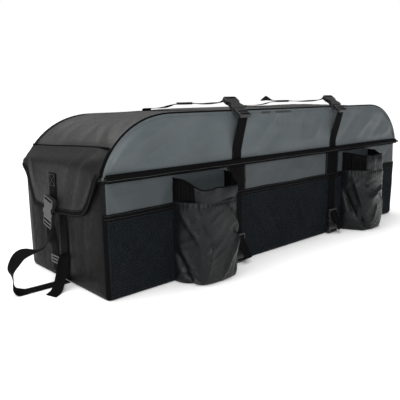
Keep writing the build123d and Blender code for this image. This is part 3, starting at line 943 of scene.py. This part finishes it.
def sideRelief(x, z, seed):
    # the upright front and back of the lid puff out a little between their edges
    up = lidTop - lidBase
    far = np.clip((np.abs(x) - (halfLength - curveLength)) / curveLength, 0, 0.9999)
    roof = lidBase + up * archRise(far)
    inside = ramp(roof - z, 0, 0.03) * ramp(z - lidBase, 0.008, 0.04)
    held = 1 - 0.8 * bump(np.abs(x), strapX, 0.04)
    puff = 0.0030 + crumple(x, 0, z, 0.19, seed) * 0.0080
    puff = puff + crumple(x, 0, z, 0.08, seed) * 0.0022 + foldsOf(x, z, lidFolds, 0.016)
    middle = -0.0028 * bump(x + (z - 0.38) * 0.1, 0.004, 0.006) + 0.0012 * bump(x, 0.022, 0.012)
    drag = crease(x * 0.25 + z * 0.5, 0, z, 0.07, seed + 3) * 0.0009
    return (puff * held + middle + drag) * inside


lidSeed = {-1: 2.9, 1: 6.2}  # the noise of the front and of the back


def lidSide(name, sign, slot, material, nodeName):
    line = archLine(step=0.0095)
    line = line[(line[:, 1] > lidBase + 0.0005)]
    foot = np.array([halfLength - 0.0002, lidBase + 0.006])
    line = np.vstack([foot * [-1, 1], line, foot])
    shares = np.linspace(0, 1, 22) ** 0.9
    x = line[None, :, 0] + 0 * shares[:, None]
    z = lidBase + (line[None, :, 1] - lidBase) * shares[:, None]
    out = halfDepth + sideRelief(x, z, lidSeed[sign])
    outer, inner = (settle(spots(x, sign * (out - wall), z)) for wall in (0, lidWall))
    piece = clothShell(name, outer, inner, x, z)
    place(piece, "lid", slot, [material], nodeName)


lidSide("lidFrontPanel", -1, "panel_fabric", panelCloth, "lid_front_panel")
lidSide("lidBackPanel", 1, "shell_fabric", shellCloth, "lid_back_panel")

piping = {"radius": 0.0027, "grow": {-1: 0.0018, 1: -0.0004}, "in": 0.0022}
seam = {"down": 0.0075, "in": 0.0085, "from": 0.012}
lines, sideSeams, topSeams = [], [], []
for sign, seed in lidSeed.items():
    x, z = archLine(piping["grow"][sign], 0.006).T
    x, z = x[z > lidBase + 0.002], z[z > lidBase + 0.002]
    out = sideRelief(x, z - 0.004, seed) - piping["in"]
    lines.append(settle(spots(x, sign * (halfDepth + out), z)))
    x, z = archLine(-seam["down"], 0.006).T
    x, z = x[z > lidBase + seam["from"]], z[z > lidBase + seam["from"]]
    out = sideRelief(x, z, seed) + 0.0002
    sideSeams.append(settle(spots(x, sign * (halfDepth + out), z)))
    line = archLine(0.0, 0.006)
    keepRows = line[:, 1] > lidBase + seam["from"]
    y = sign * (halfDepth - seam["in"]) + 0 * line[:, 0]
    lift = topRelief(line[:, 0], y, line[:, 1]) + 0.0003
    line = line + archOut(line) * lift[:, None]
    topSeams.append(settle(spots(line[:, 0], y, line[:, 1]))[keepRows])
lidPiping = piped("lidPiping", lines, piping["radius"], 10)
place(lidPiping, "lid", "binding_tape", [bindingCloth], "lid_piping")
stitches("lidSideStitches", sideSeams, "lid", "panel_fabric")
stitches("lidTopStitches", topSeams, "lid", "shell_fabric", darkThread)
print("lid made")

# the band that hangs over the zip
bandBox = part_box("storm_band")
band = {"thick": 0.0016}
profile = smoothLine(
    [
        (-halfDepth - 0.0018, lidBase + 0.0105),
        (-halfDepth - 0.0070, lidBase + 0.0108),
        (bandBox[0].y + 0.0012, lidBase + 0.0075),
        (bandBox[0].y + 0.0012, bandBox[0].z + 0.0035),
    ],
    0.0022,
)
xs = np.linspace(bandBox[0].x, bandBox[1].x, 190)
drop = runShare(profile)[None]
flutter = crumple(xs, 0, 0, 0.07, 5.0) * 0.0012 + crumple(xs, 0, 0, 0.022, 1.0) * 0.0004
hem = crumple(xs, 0, 0, 0.11, 8.0) * 0.0022
points = spots(
    xs[:, None],
    profile[None, :, 0] - (flutter[:, None] + 0.0002) * drop**2,
    profile[None, :, 1] + hem[:, None] * drop**2,
)
stormBand = sheetAround("stormBand", points, band["thick"], runLength(profile)[None, :], xs[:, None])
place(stormBand, "lid", "binding_tape", [bindingCloth], "storm_band")
edgeLine = points[:, -3] + [0, -0.0009, 0]
bandStitches = stitches("bandStitches", [edgeLine], "lid", "binding_tape")
float(runLength(profile)[-1])

# end flaps that hang from a seam across each curve
flap = {"front": -0.212, "back": 0.205, "thick": 0.0026, "bind": 0.016, "strap": 0.015}
flapLow = np.array(
    [
        (-0.212, 0.311),
        (-0.203, 0.290),
        (-0.178, 0.256),
        (-0.156, 0.228),
        (-0.136, 0.211),
        (-0.100, 0.202),
        (-0.020, 0.197),
        (0.100, 0.196),
        (0.136, 0.199),
        (0.151, 0.216),
        (0.164, 0.262),
        (0.180, 0.292),
        (0.205, 0.306),
    ]
)
hangPath = smoothLine([(0.6836, 0.3838), (0.7140, 0.3474), (0.7221, 0.319), (0.7221, 0.184)], 0.003)


def flapDown(y):  # height of the lower edge
    line = smoothLine(flapLow, 0.004, rounds=2)
    return np.interp(y, line[:, 0], line[:, 1])


flapFolds = [
    ((-0.185, 0.375), (-0.120, 0.300), 0.0036),
    ((-0.160, 0.350), (-0.085, 0.225), 0.0044),
    ((-0.190, 0.345), (-0.125, 0.240), -0.0040),
    ((-0.135, 0.365), (-0.060, 0.230), -0.0034),
    ((-0.200, 0.365), (-0.175, 0.310), 0.0030),
    ((-0.105, 0.370), (-0.045, 0.270), 0.0022),
    ((0.150, 0.360), (0.120, 0.260), 0.0024),
    ((0.180, 0.350), (0.165, 0.290), -0.0028),
]


def flapX(side, y, z):
    hang = np.interp(-z, -hangPath[:, 1], hangPath[:, 0])
    loose = ramp(0.378 - z, 0, 0.07)
    held = 1 - 0.75 * bump(y, flap["strap"], 0.045)
    sway = crumple(y, side, z, 0.12, 3.3) * 0.0028
    pleat = crease(y * 0.9 + z * 0.7, side, z * 0.25, 0.045, 6.1) * 0.0011 * ramp(-y, 0.02, 0.12)
    tuck = foldsOf(y, z, flapFolds, 0.010) * ramp(0.380 - z, 0, 0.03)
    share = np.clip((z - lidBase) / (lidTop - lidBase), 0, 1) ** (1 / arch["shoulder"])
    lidX = halfLength - curveLength + curveLength * (1 - share) ** (1 / arch["fullness"]) + 0.0042
    near = 0.8 * ramp(y, 0.17, 0.205) * ramp(z, 0.322, 0.345)
    near = np.maximum(ramp(-y, 0.165, 0.208), near) * ramp(z, 0.300, 0.330)
    hang = hang + (np.minimum(lidX, hang) - hang) * near
    return hang + (sway + pleat) * loose * held + tuck * held


def onFlap(side, y, z, out=0.0):
    return spots(side * (flapX(side, y, z) + out), y, z)


for word, side in (("left", -1), ("right", 1)):
    ys = np.linspace(flap["front"], flap["back"], 66)
    share = np.linspace(0, 1, 34)
    low = flapDown(ys)
    z = hangPath[0, 1] + (low[None, :] - hangPath[0, 1]) * share[:, None]
    y = ys[None, :] + 0 * z
    cloth = sheetAround(f"{word}Flap", settle(onFlap(side, y, z)), flap["thick"], y, z)
    place(cloth, f"{word}_flap", "shell_fabric", [flapShadeCloth], f"{word}_flap")
    outline = [(flap["front"] - 0.002, 0.3165)] + [tuple(p) for p in flapLow[1:-1]]
    outline += [(flap["back"], 0.3080), (flap["back"] + 0.001, 0.3165)]
    rim = smoothLine(outline, 0.005)
    inward = archOut(rim)  # points to the left of the way the line runs
    steps = np.linspace(-0.0008, flap["bind"], 5)
    yy, zz = (rim[:, None, k] + inward[:, None, k] * steps[None, :] for k in (0, 1))
    points = settle(onFlap(side, yy, zz))
    bound = sheetAround(f"{word}FlapBinding", points, 0.0048, steps[None, :], runLength(rim)[:, None])
    place(bound, f"{word}_flap", "binding_tape", [bindingCloth], f"{word}_flap_binding")
    seams = []
    for inset in (0.003, 0.0135):
        yy, zz = (rim + inward * inset).T
        seams.append(settle(onFlap(side, yy, zz, 0.0026)))
    sewn = stitches(f"{word}FlapStitches", seams, f"{word}_flap", "binding_tape", darkThread)
    # the hinge seam, and the piece of webbing that holds the buckle
    roll = settle(spots(side * hangPath[0, 0], ys, hangPath[0, 1]))
    welt = piped(f"{word}FlapSeam", [roll], 0.0026, 8)
    place(welt, f"{word}_flap", "binding_tape", [bindingCloth])
    points = onFlap(side, np.full(12, flap["strap"]), np.linspace(0.306, 0.232, 12), 0.0028)
    tab = strap(f"{word}FlapStrap", points, (0, 1, 0), thick=0.002)
    place(tab, f"{word}_flap", "webbing", [webbing], f"{word}_flap_strap")
    y0, z0, y1, z1 = 0.0, 0.272, 0.030, 0.302  # corners of the sewn box and its cross
    path = [(y0, z0), (y1, z0), (y1, z1), (y0, z1), (y0, z0), (y1, z1), (y0, z1), (y1, z0)]
    yy, zz = evenLine(path, 0.003).T
    box = onFlap(side, yy, zz, 0.0041)
    stitches(f"{word}FlapStrapStitches", [box], f"{word}_flap", "webbing")
    refinish(f"end_buckle_{word}_plug", buckleResin)
    refinish(f"end_buckle_{word}_socket", buckleResin)
print("flaps made")

# bottle pouches and their gathered collars
pouch = {
    "spans": {"left": (-0.495, -0.300), "right": (0.318, 0.498)},
    "depth": 0.090,
    "backRim": 0.291,
    "taper": 0.034,
    "seam": 0.226,
    "thick": 0.0016,
}
pouchLooks = {
    "left": {
        "seed": 2.0,
        "swell": 0.002,
        "frontRim": 0.264,
        "lean": 0.004,
        "elastic": (0.21, 0.86),
        "folds": [
            ((0.010, 0.085), (0.060, 0.004), -0.0130),
            ((0.030, 0.100), (0.085, 0.010), 0.0060),
            ((0.030, 0.200), (0.095, 0.100), 0.0050),
            ((0.075, 0.215), (0.120, 0.130), -0.0050),
            ((0.175, 0.205), (0.230, 0.140), 0.0070),
            ((0.205, 0.150), (0.235, 0.118), -0.0060),
            ((0.225, 0.120), (0.160, 0.020), 0.0070),
            ((0.250, 0.100), (0.205, 0.010), -0.0060),
            ((0.270, 0.090), (0.250, 0.010), 0.0060),
            ((0.120, 0.110), (0.100, 0.020), 0.0040),
        ],
    },
    "right": {
        "seed": 7.0,
        "swell": 0.002,
        "frontRim": 0.282,
        "lean": -0.003,
        "elastic": (0.30, 0.84),
        "folds": [
            ((0.010, 0.150), (0.060, 0.060), -0.0100),
            ((0.050, 0.190), (0.085, 0.090), 0.0060),
            ((0.080, 0.050), (0.120, 0.008), -0.0110),
            ((0.100, 0.180), (0.190, 0.120), -0.0050),
            ((0.110, 0.120), (0.190, 0.160), 0.0060),
            ((0.150, 0.090), (0.130, 0.030), 0.0060),
            ((0.200, 0.110), (0.215, 0.030), 0.0040),
        ],
    },
}


def pouchLine(start, end, shrink=0.0):
    tip = -halfDepth - pouch["depth"] + shrink
    points = [
        (start + shrink, -halfDepth + 0.001),
        (start + shrink * 0.8, -halfDepth - 0.026),
        (start + pouch["taper"] * 0.55 + shrink * 0.5, -halfDepth - 0.062),
        (start + pouch["taper"] + shrink * 0.3, tip),
        ((start + end) / 2, tip - 0.004),
        (end - pouch["taper"] - shrink * 0.3, tip),
        (end - pouch["taper"] * 0.55 - shrink * 0.5, -halfDepth - 0.062),
        (end - shrink * 0.8, -halfDepth - 0.026),
        (end - shrink, -halfDepth + 0.001),
    ]
    line = smoothLine(points, 0.002, rounds=2)
    run = runLength(line)
    at = np.linspace(0, run[-1], 121)
    return np.stack([np.interp(at, run, line[:, k]) for k in (0, 1)], 1)


for word, (start, end) in pouch["spans"].items():
    look = pouchLooks[word]
    line = pouchLine(start, end)
    along = unit(np.gradient(line, axis=0))
    out = np.stack([along[:, 1], -along[:, 0]], -1)
    run = runLength(line)
    share = run / run[-1]
    loose = ramp(share, 0, 0.10) * ramp(1 - share, 0, 0.10)
    zs = np.linspace(0.004, pouch["seam"] + 0.002, 56)
    level = zs / pouch["seam"]
    s2, z2 = np.meshgrid(run, zs)
    swell = look["swell"] * np.sin(np.pi * np.clip(level, 0, 1))[:, None]
    seed = look["seed"]
    small = crease(s2 * 0.7 - z2 * 0.9, seed, z2 * 0.8, 0.035, seed + 4) * 0.0007
    soft = crumple(s2, seed, z2, 0.10, seed + 1) * 0.005
    pulls = foldsOf(s2, z2, look["folds"], 0.0085) * 1.25
    gather = np.sin(s2 * 2 * np.pi / 0.013 + 2 * crumple(s2, 0, 0, 0.03, seed)) * 0.0008
    gather = gather * bump(z2, pouch["seam"], 0.018)
    pinch = -0.003 * bump(z2, pouch["seam"], 0.006) - 0.004 * bump(z2, 0.0, 0.010)
    away = (small + soft + gather + pulls) * loose[None] + swell + pinch * loose[None]
    away = np.clip(away, -0.016, 0.011)
    shell = beside(line, out, away, z2)
    shell[..., 1] = np.minimum(shell[..., 1], -halfDepth + 0.001)
    # the bottom is drawn in to a fold under the pouch
    middle = np.array([(start + end) / 2, -halfDepth - 0.035])
    rows = []
    for close, z in ((0.97, 0.0016), (0.90, 0.0011), (0.7, 0.0011), (0.4, 0.0011), (0.0, 0.0011)):
        ring = middle + (shell[0, :, :2] - middle) * close
        rows.append(spots(*ring.T, z))
    shell = np.vstack([np.array(rows[::-1]), shell])
    height = np.concatenate([[-0.10, -0.06, -0.03, -0.012, -0.004], zs])
    body = sheetAround(
        f"bottlePouch{word.title()}", shell, pouch["thick"], run[None, :], height[:, None], share=0.0
    )
    place(body, "tub", "pouch_fabric", [pouchCloth], f"bottle_pouch_{word}")
    # collar: two clear panels, front and back, with dark elastic at the corners
    steps = np.linspace(0, 1, 16)
    nearBag = 1 - ramp(-line[:, 1] - halfDepth, 0.02, 0.085)
    rim = look["frontRim"] + (pouch["backRim"] - look["frontRim"]) * nearBag
    rim = rim + crumple(run, 0, 0, 0.04, seed) * 0.003
    base = pouch["seam"] - 0.001
    z2 = base + (rim[None, :] - base) * steps[:, None]
    leftEnd, rightEnd = (ramp(share, at - 0.03, at + 0.03) for at in look["elastic"])
    cornerHere = 1 - leftEnd + rightEnd
    drift = crumple(run, 0, 0, 0.02, seed + 5) * 2.6
    shirr = np.sin(run * 2 * np.pi / 0.0095 + drift) * 0.0017 * np.clip(cornerHere + 0.05, 0, 1)
    ruffle = crumple(run[None, :], seed, z2, 0.035, seed + 2) * 0.0035
    gather = shirr[None] * np.sin(np.pi * np.clip(steps * 0.8 + 0.2, 0, 1))[:, None]
    belly = 0.004 * np.sin(np.pi * steps)[:, None] + look["lean"] * steps[:, None]
    away = (gather + ruffle - 0.005) * loose[None]
    away = away + belly * loose[None] * (1 - 0.7 * np.clip(cornerHere, 0, 1))[None]
    top = beside(line, out, away, z2)
    top[..., 1] = np.minimum(top[..., 1], -halfDepth + 0.001)
    paint = np.tile((cornerHere[:-1] > 0.45).astype(int), (len(steps) - 1, 1))
    collar = sheetAround(
        f"pouchCollar{word.title()}", top, pouch["thick"], run[None, :], z2, paint, share=0.0
    )
    place(collar, "tub", "collar_fabric", [collarCloth, bindingCloth], f"pouch_collar_{word}")
    hemLine = top[-1] + np.array([0, 0, 0.0002])
    hem = piped(f"pouchHem{word.title()}", [hemLine], 0.0019, 8)
    place(hem, "tub", "binding_tape", [bindingCloth])
    sewn = shell[-2] + np.hstack([out * 0.0006, 0 * run[:, None]])
    stitches(f"pouchStitches{word.title()}", [sewn], "tub", "pouch_fabric", darkThread)
print("pouches made")

# webbing on the front
patches, rackParts, boxes = [], [], []
for side in (-1, 1):
    zs = np.linspace(0.2235, 0.2995, 14)
    xs = side * strapX + np.linspace(-0.5, 0.5, 9) * web["patch"]
    face = onFront(xs[None, :], zs[:, None], 0.0012)
    patches.append(sheetAround("patch", face, 0.0020, xs[None, :], zs[:, None]))
    zs = np.linspace(0.061, 0.212, 24)
    line = onFront(side * strapX + 0 * zs, zs, 0.0032)
    rackParts.append(strap("down", line, (1, 0, 0)))
    for left in (-0.034, 0.034):
        zs = np.linspace(0.226, 0.297, 12)
        boxes.append(onFront(side * strapX + left + 0 * zs, zs, 0.0024))
strapPatches = joined("strapPatches", patches)
place(strapPatches, "tub", "webbing", [webbing], "strap_patches")
stitches("patchStitches", boxes, "tub", "webbing")
rackStraps = joined("rackStraps", rackParts)
place(rackStraps, "tub", "webbing", [webbing], "rack_straps")

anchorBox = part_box("rack_anchors")
parts = []
for side in (-1, 1):
    ys = np.linspace(anchorBox[0].y, -halfDepth - 0.0002, 6)
    line = spots(side * strapX, ys, 0.0013)
    parts.append(strap("anchor", line, (1, 0, 0), thick=0.0018))
rackAnchors = joined("rackAnchors", parts)
place(rackAnchors, "tub", "webbing", [webbing], "rack_anchors")
for word, side in (("left", -1), ("right", 1)):
    low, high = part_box(f"rack_tail_{word}")
    points = [
        (side * strapX, high.y - 0.001, high.z - 0.001),
        (side * strapX + 0.002, high.y - 0.006, high.z - 0.026),
        (side * strapX + 0.010, (low.y + high.y) / 2 - 0.001, 0.045),
        (side * strapX + 0.016, low.y + 0.002, 0.0165),
    ]
    line = smoothLine(points, 0.005)
    tail = strap(f"rackTail{word.title()}", line, (1, 0.12, 0), 0.036)
    place(tail, f"rack_plug_{word}", "webbing", [webbing], f"rack_tail_{word}")
    refinish(f"rack_buckle_{word}_plug", buckleResin)
    refinish(f"rack_buckle_{word}_socket", buckleResin)
    refinish(f"top_buckle_{word}_plug", buckleResin)
    refinish(f"top_buckle_{word}_socket", buckleResin)
    refinish(f"strap_adjuster_{word}", buckleResin)
refinish("end_ladder_locks", buckleResin)

# webbing over the lid
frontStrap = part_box("lid_front_straps")
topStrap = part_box("top_straps")
fronts, tops, boxes = [], [], []
for side in (-1, 1):
    x = side * strapX
    zs = np.linspace(frontStrap[0].z, 0.346, 8)
    rise = sideRelief(x + 0 * zs, zs, lidSeed[-1])
    flat = [(x, -halfDepth - 0.0012 - r, z) for r, z in zip(rise, zs)]
    line = flat + [(x, frontStrap[0].y + 0.0012, frontStrap[1].z - 0.001)]
    line = evenLine(line, 0.006)
    fronts.append(strap("up", line, (1, 0, 0)))
    for left in (-0.016, 0.016):
        run = [p for p in flat if p[2] < 0.345]
        boxes.append(np.array(run) + [left, -0.0011, 0])
    points = [
        (x, topStrap[0].y + 0.001, 0.4925),
        (x, -0.150, 0.4825),
        (x, -0.060, 0.4815),
        (x, 0.062, 0.4820),
        (x, 0.122, 0.4668),
        (x, 0.195, 0.4650),
        (x, 0.2185, 0.4655),
        (x, 0.2212, 0.458),
        (x, 0.2212, topStrap[0].z),
    ]
    line = smoothLine(points, 0.006, rounds=2)
    share = runShare(line)
    lean = 0.13 * np.sin(2 * np.pi * np.clip(share / 0.36, 0, 1))
    lean = lean + 0.12 * ramp(share, 0.1, 0.2) * ramp(0.6 - share, 0, 0.1)
    across = spots(np.cos(lean), 0, np.sin(lean))
    tops.append(strap("over", line, across))
lidFrontStraps = joined("lidFrontStraps", fronts)
place(lidFrontStraps, "lid", "webbing", [webbing], "lid_front_straps")
stitches("lidFrontStrapStitches", boxes, "lid", "webbing", darkThread)
topStraps = joined("topStraps", tops)
place(topStraps, "lid", "webbing", [webbing], "top_straps")
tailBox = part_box("strap_tail")
line = smoothLine(
    [
        (strapX, tailBox[0].y + 0.001, tailBox[0].z + 0.0013),
        (strapX, 0.080, tailBox[0].z + 0.0022),
        (strapX + 0.002, tailBox[1].y - 0.001, tailBox[1].z - 0.001),
    ],
    0.005,
)
share = runShare(line)
lean = 0.5 * ramp(share, 0.35, 1.0)
across = spots(np.cos(lean), 0, np.sin(lean))
place(strap("strapTail", line, across, 0.037), "lid", "webbing", [webbing], "strap_tail")

# webbing at the ends
endPatch = {"y": -0.012, "width": 0.041}
ends = []
for side in (-1, 1):
    points = [
        (side * 0.7248, 0.040, 0.162),
        (side * 0.7238, 0.043, 0.140),
        (side * 0.7215, 0.046, 0.122),
        (side * 0.7195, 0.049, 0.106),
    ]
    zs = np.linspace(0.092, 0.018, 8)
    points = points + [tuple(p) for p in onEnd(side, 0.050 + 0 * zs, zs, 0.0016)]
    line = smoothLine(points, 0.005)
    share = runShare(line)
    lean = 0.30 * np.sin(np.pi * np.clip(share * 1.9, 0, 1))
    across = spots(side * np.sin(lean), np.cos(lean), 0)
    ends.append(strap("end", line, across))
    zs = np.linspace(0.236, 0.011, 30)
    line = onEnd(side, endPatch["y"] + 0 * zs, zs, 0.0012)
    ends.append(strap("patch", line, (0, 1, 0), endPatch["width"]))
endStraps = joined("endStraps", ends)
place(endStraps, "tub", "webbing", [webbing], "end_straps")

loop = {
    "path": [
        (-0.7350, 0.020, 0.150),
        (-0.7400, 0.020, 0.132),
        (-0.7560, 0.012, 0.112),
        (-0.7800, 0.002, 0.104),
        (-0.8080, -0.005, 0.109),
        (-0.8380, -0.008, 0.107),
        (-0.8540, -0.008, 0.090),
        (-0.8700, -0.008, 0.066),
        (-0.8620, -0.008, 0.046),
        (-0.8640, -0.007, 0.014),
        (-0.8420, -0.006, 0.0012),
        (-0.7100, -0.006, 0.0012),
    ],
    "roll": 0.45,
}
line = smoothLine(loop["path"], 0.006)
share = runShare(line)
roll = loop["roll"] * np.sin(3 * np.pi * np.clip(share / 0.7, 0, 1)) * ramp(share, 0, 0.12)
along = unit(np.gradient(line, axis=0))
side = np.cross(along, [0, 1, 0])
across = np.cos(roll)[:, None] * np.array([0, 1, 0]) + np.sin(roll)[:, None] * side
slackLoop = strap("slackLoop", line, across)
slackLine = smoothLine(
    [
        (-0.7130, -0.024, 0.083),
        (-0.7220, -0.026, 0.081),
        (-0.7350, -0.034, 0.063),
        (-0.7500, -0.048, 0.030),
        (-0.7700, -0.063, 0.0014),
        (-0.7960, -0.080, 0.0012),
    ],
    0.005,
)
slackTail = strap("slackTail", slackLine, (-0.3, 1, 0))
strapSlack = joined("leftStrapSlack", [slackLoop, slackTail])
place(strapSlack, "tub", "webbing", [webbing], "left_strap_slack")

# hinge along the back: a bound strip with a rounded bead
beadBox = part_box("hinge_bead")
zs = np.linspace(beadBox[0].z, zipLine - 0.0006, 6)
xs = np.linspace(beadBox[0].x, beadBox[1].x, 150)
ripple = crumple(xs, 0, 0, 0.10, 2.0)[None, :] * 0.0003
points = spots(xs[None, :], halfDepth + 0.0014 + ripple, zs[:, None])
hingeTape = sheetAround("hingeTape", points, 0.0016, xs[None, :], zs[:, None])
hingeTape.data.materials.append(bindingCloth)
bead = piped("bead", [spots(xs, halfDepth + 0.0025, zipLine)], 0.0021, 10)
hinge = joined("hingeStrip", [hingeTape, bead])
place(hinge, "tub", "binding_tape", [bindingCloth], "hinge_bead")
print("webbing made")

# floor, light and camera
ground = {"size": 14.0, "tone": 0.93}
mesh = bpy.data.meshes.new("ground")
half = ground["size"]
rim = [(-half, -half, 0), (half, -half, 0), (half, half, 0), (-half, half, 0)]
mesh.from_pydata(rim, [], [(0, 1, 2, 3)])
floor = linked("ground", mesh)
paper = Finish("pale paper")
grain = paper.cloud(0.4, 3)
tone = ground["tone"]
paper.link(
    paper.blend(grain, (tone - 0.01,) * 3, (tone + 0.01,) * 3),
    paper.shader.inputs["Base Color"],
)
paper.put(paper.shader, Roughness=0.95, Specular_IOR_Level=0.05)
mesh.materials.append(paper.material)

world = bpy.data.worlds.new("studio")
bpy.context.scene.world = world
world.use_nodes = True
# the white wall that is seen, and the softer room that lights
wall = world.node_tree.nodes["Background"]
wall.inputs["Color"].default_value = (1, 1, 1, 1)
seen = world.node_tree.nodes.new("ShaderNodeLightPath")
level = world.node_tree.nodes.new("ShaderNodeMapRange")
level.inputs["To Min"].default_value = 0.30
level.inputs["To Max"].default_value = 1.02
world.node_tree.links.new(seen.outputs["Is Camera Ray"], level.inputs["Value"])
world.node_tree.links.new(level.outputs["Result"], wall.inputs["Strength"])

skylight = bpy.data.lights.new("skylight", "SUN")
skylight.energy = 3.5
skylight.angle = math.radians(70)
linked("skylight", skylight).rotation_euler = (math.radians(-14), math.radians(-10), 0)
softBox = {"at": (-1.6, -2.35, 1.7), "aim": (-0.15, -0.2, 0.25), "size": 1.3, "power": 60}
lamp = bpy.data.lights.new("front", "AREA")
lamp.shape = "SQUARE"
lamp.size = softBox["size"]
lamp.energy = softBox["power"]
item = linked("front", lamp)
item.location = softBox["at"]
aim = Vector(softBox["aim"]) - Vector(softBox["at"])
item.rotation_euler = aim.to_track_quat("-Z", "Y").to_euler()

view = {"azimuth": -42.0, "elevation": 11.4, "roll": -0.82, "at": (-1.341, -1.268, 0.501), "lens": 45.88}
a, e, r = (math.radians(view[k]) for k in ("azimuth", "elevation", "roll"))
back = Vector((math.sin(a) * math.cos(e), -math.cos(a) * math.cos(e), math.sin(e)))
right = Vector((math.cos(a), math.sin(a), 0))
up = back.cross(right)
rolledRight = right * math.cos(r) + up * math.sin(r)
rolledUp = up * math.cos(r) - right * math.sin(r)
lens = bpy.data.cameras.new("camera")
lens.lens = view["lens"]
lens.sensor_width = 36
camera = linked("camera", lens)
turned = Matrix((rolledRight, rolledUp, back)).transposed().to_4x4()
camera.matrix_world = Matrix.Translation(view["at"]) @ turned
bpy.context.scene.camera = camera
bpy.context.scene.view_settings.view_transform = "Standard"
print("stage set")
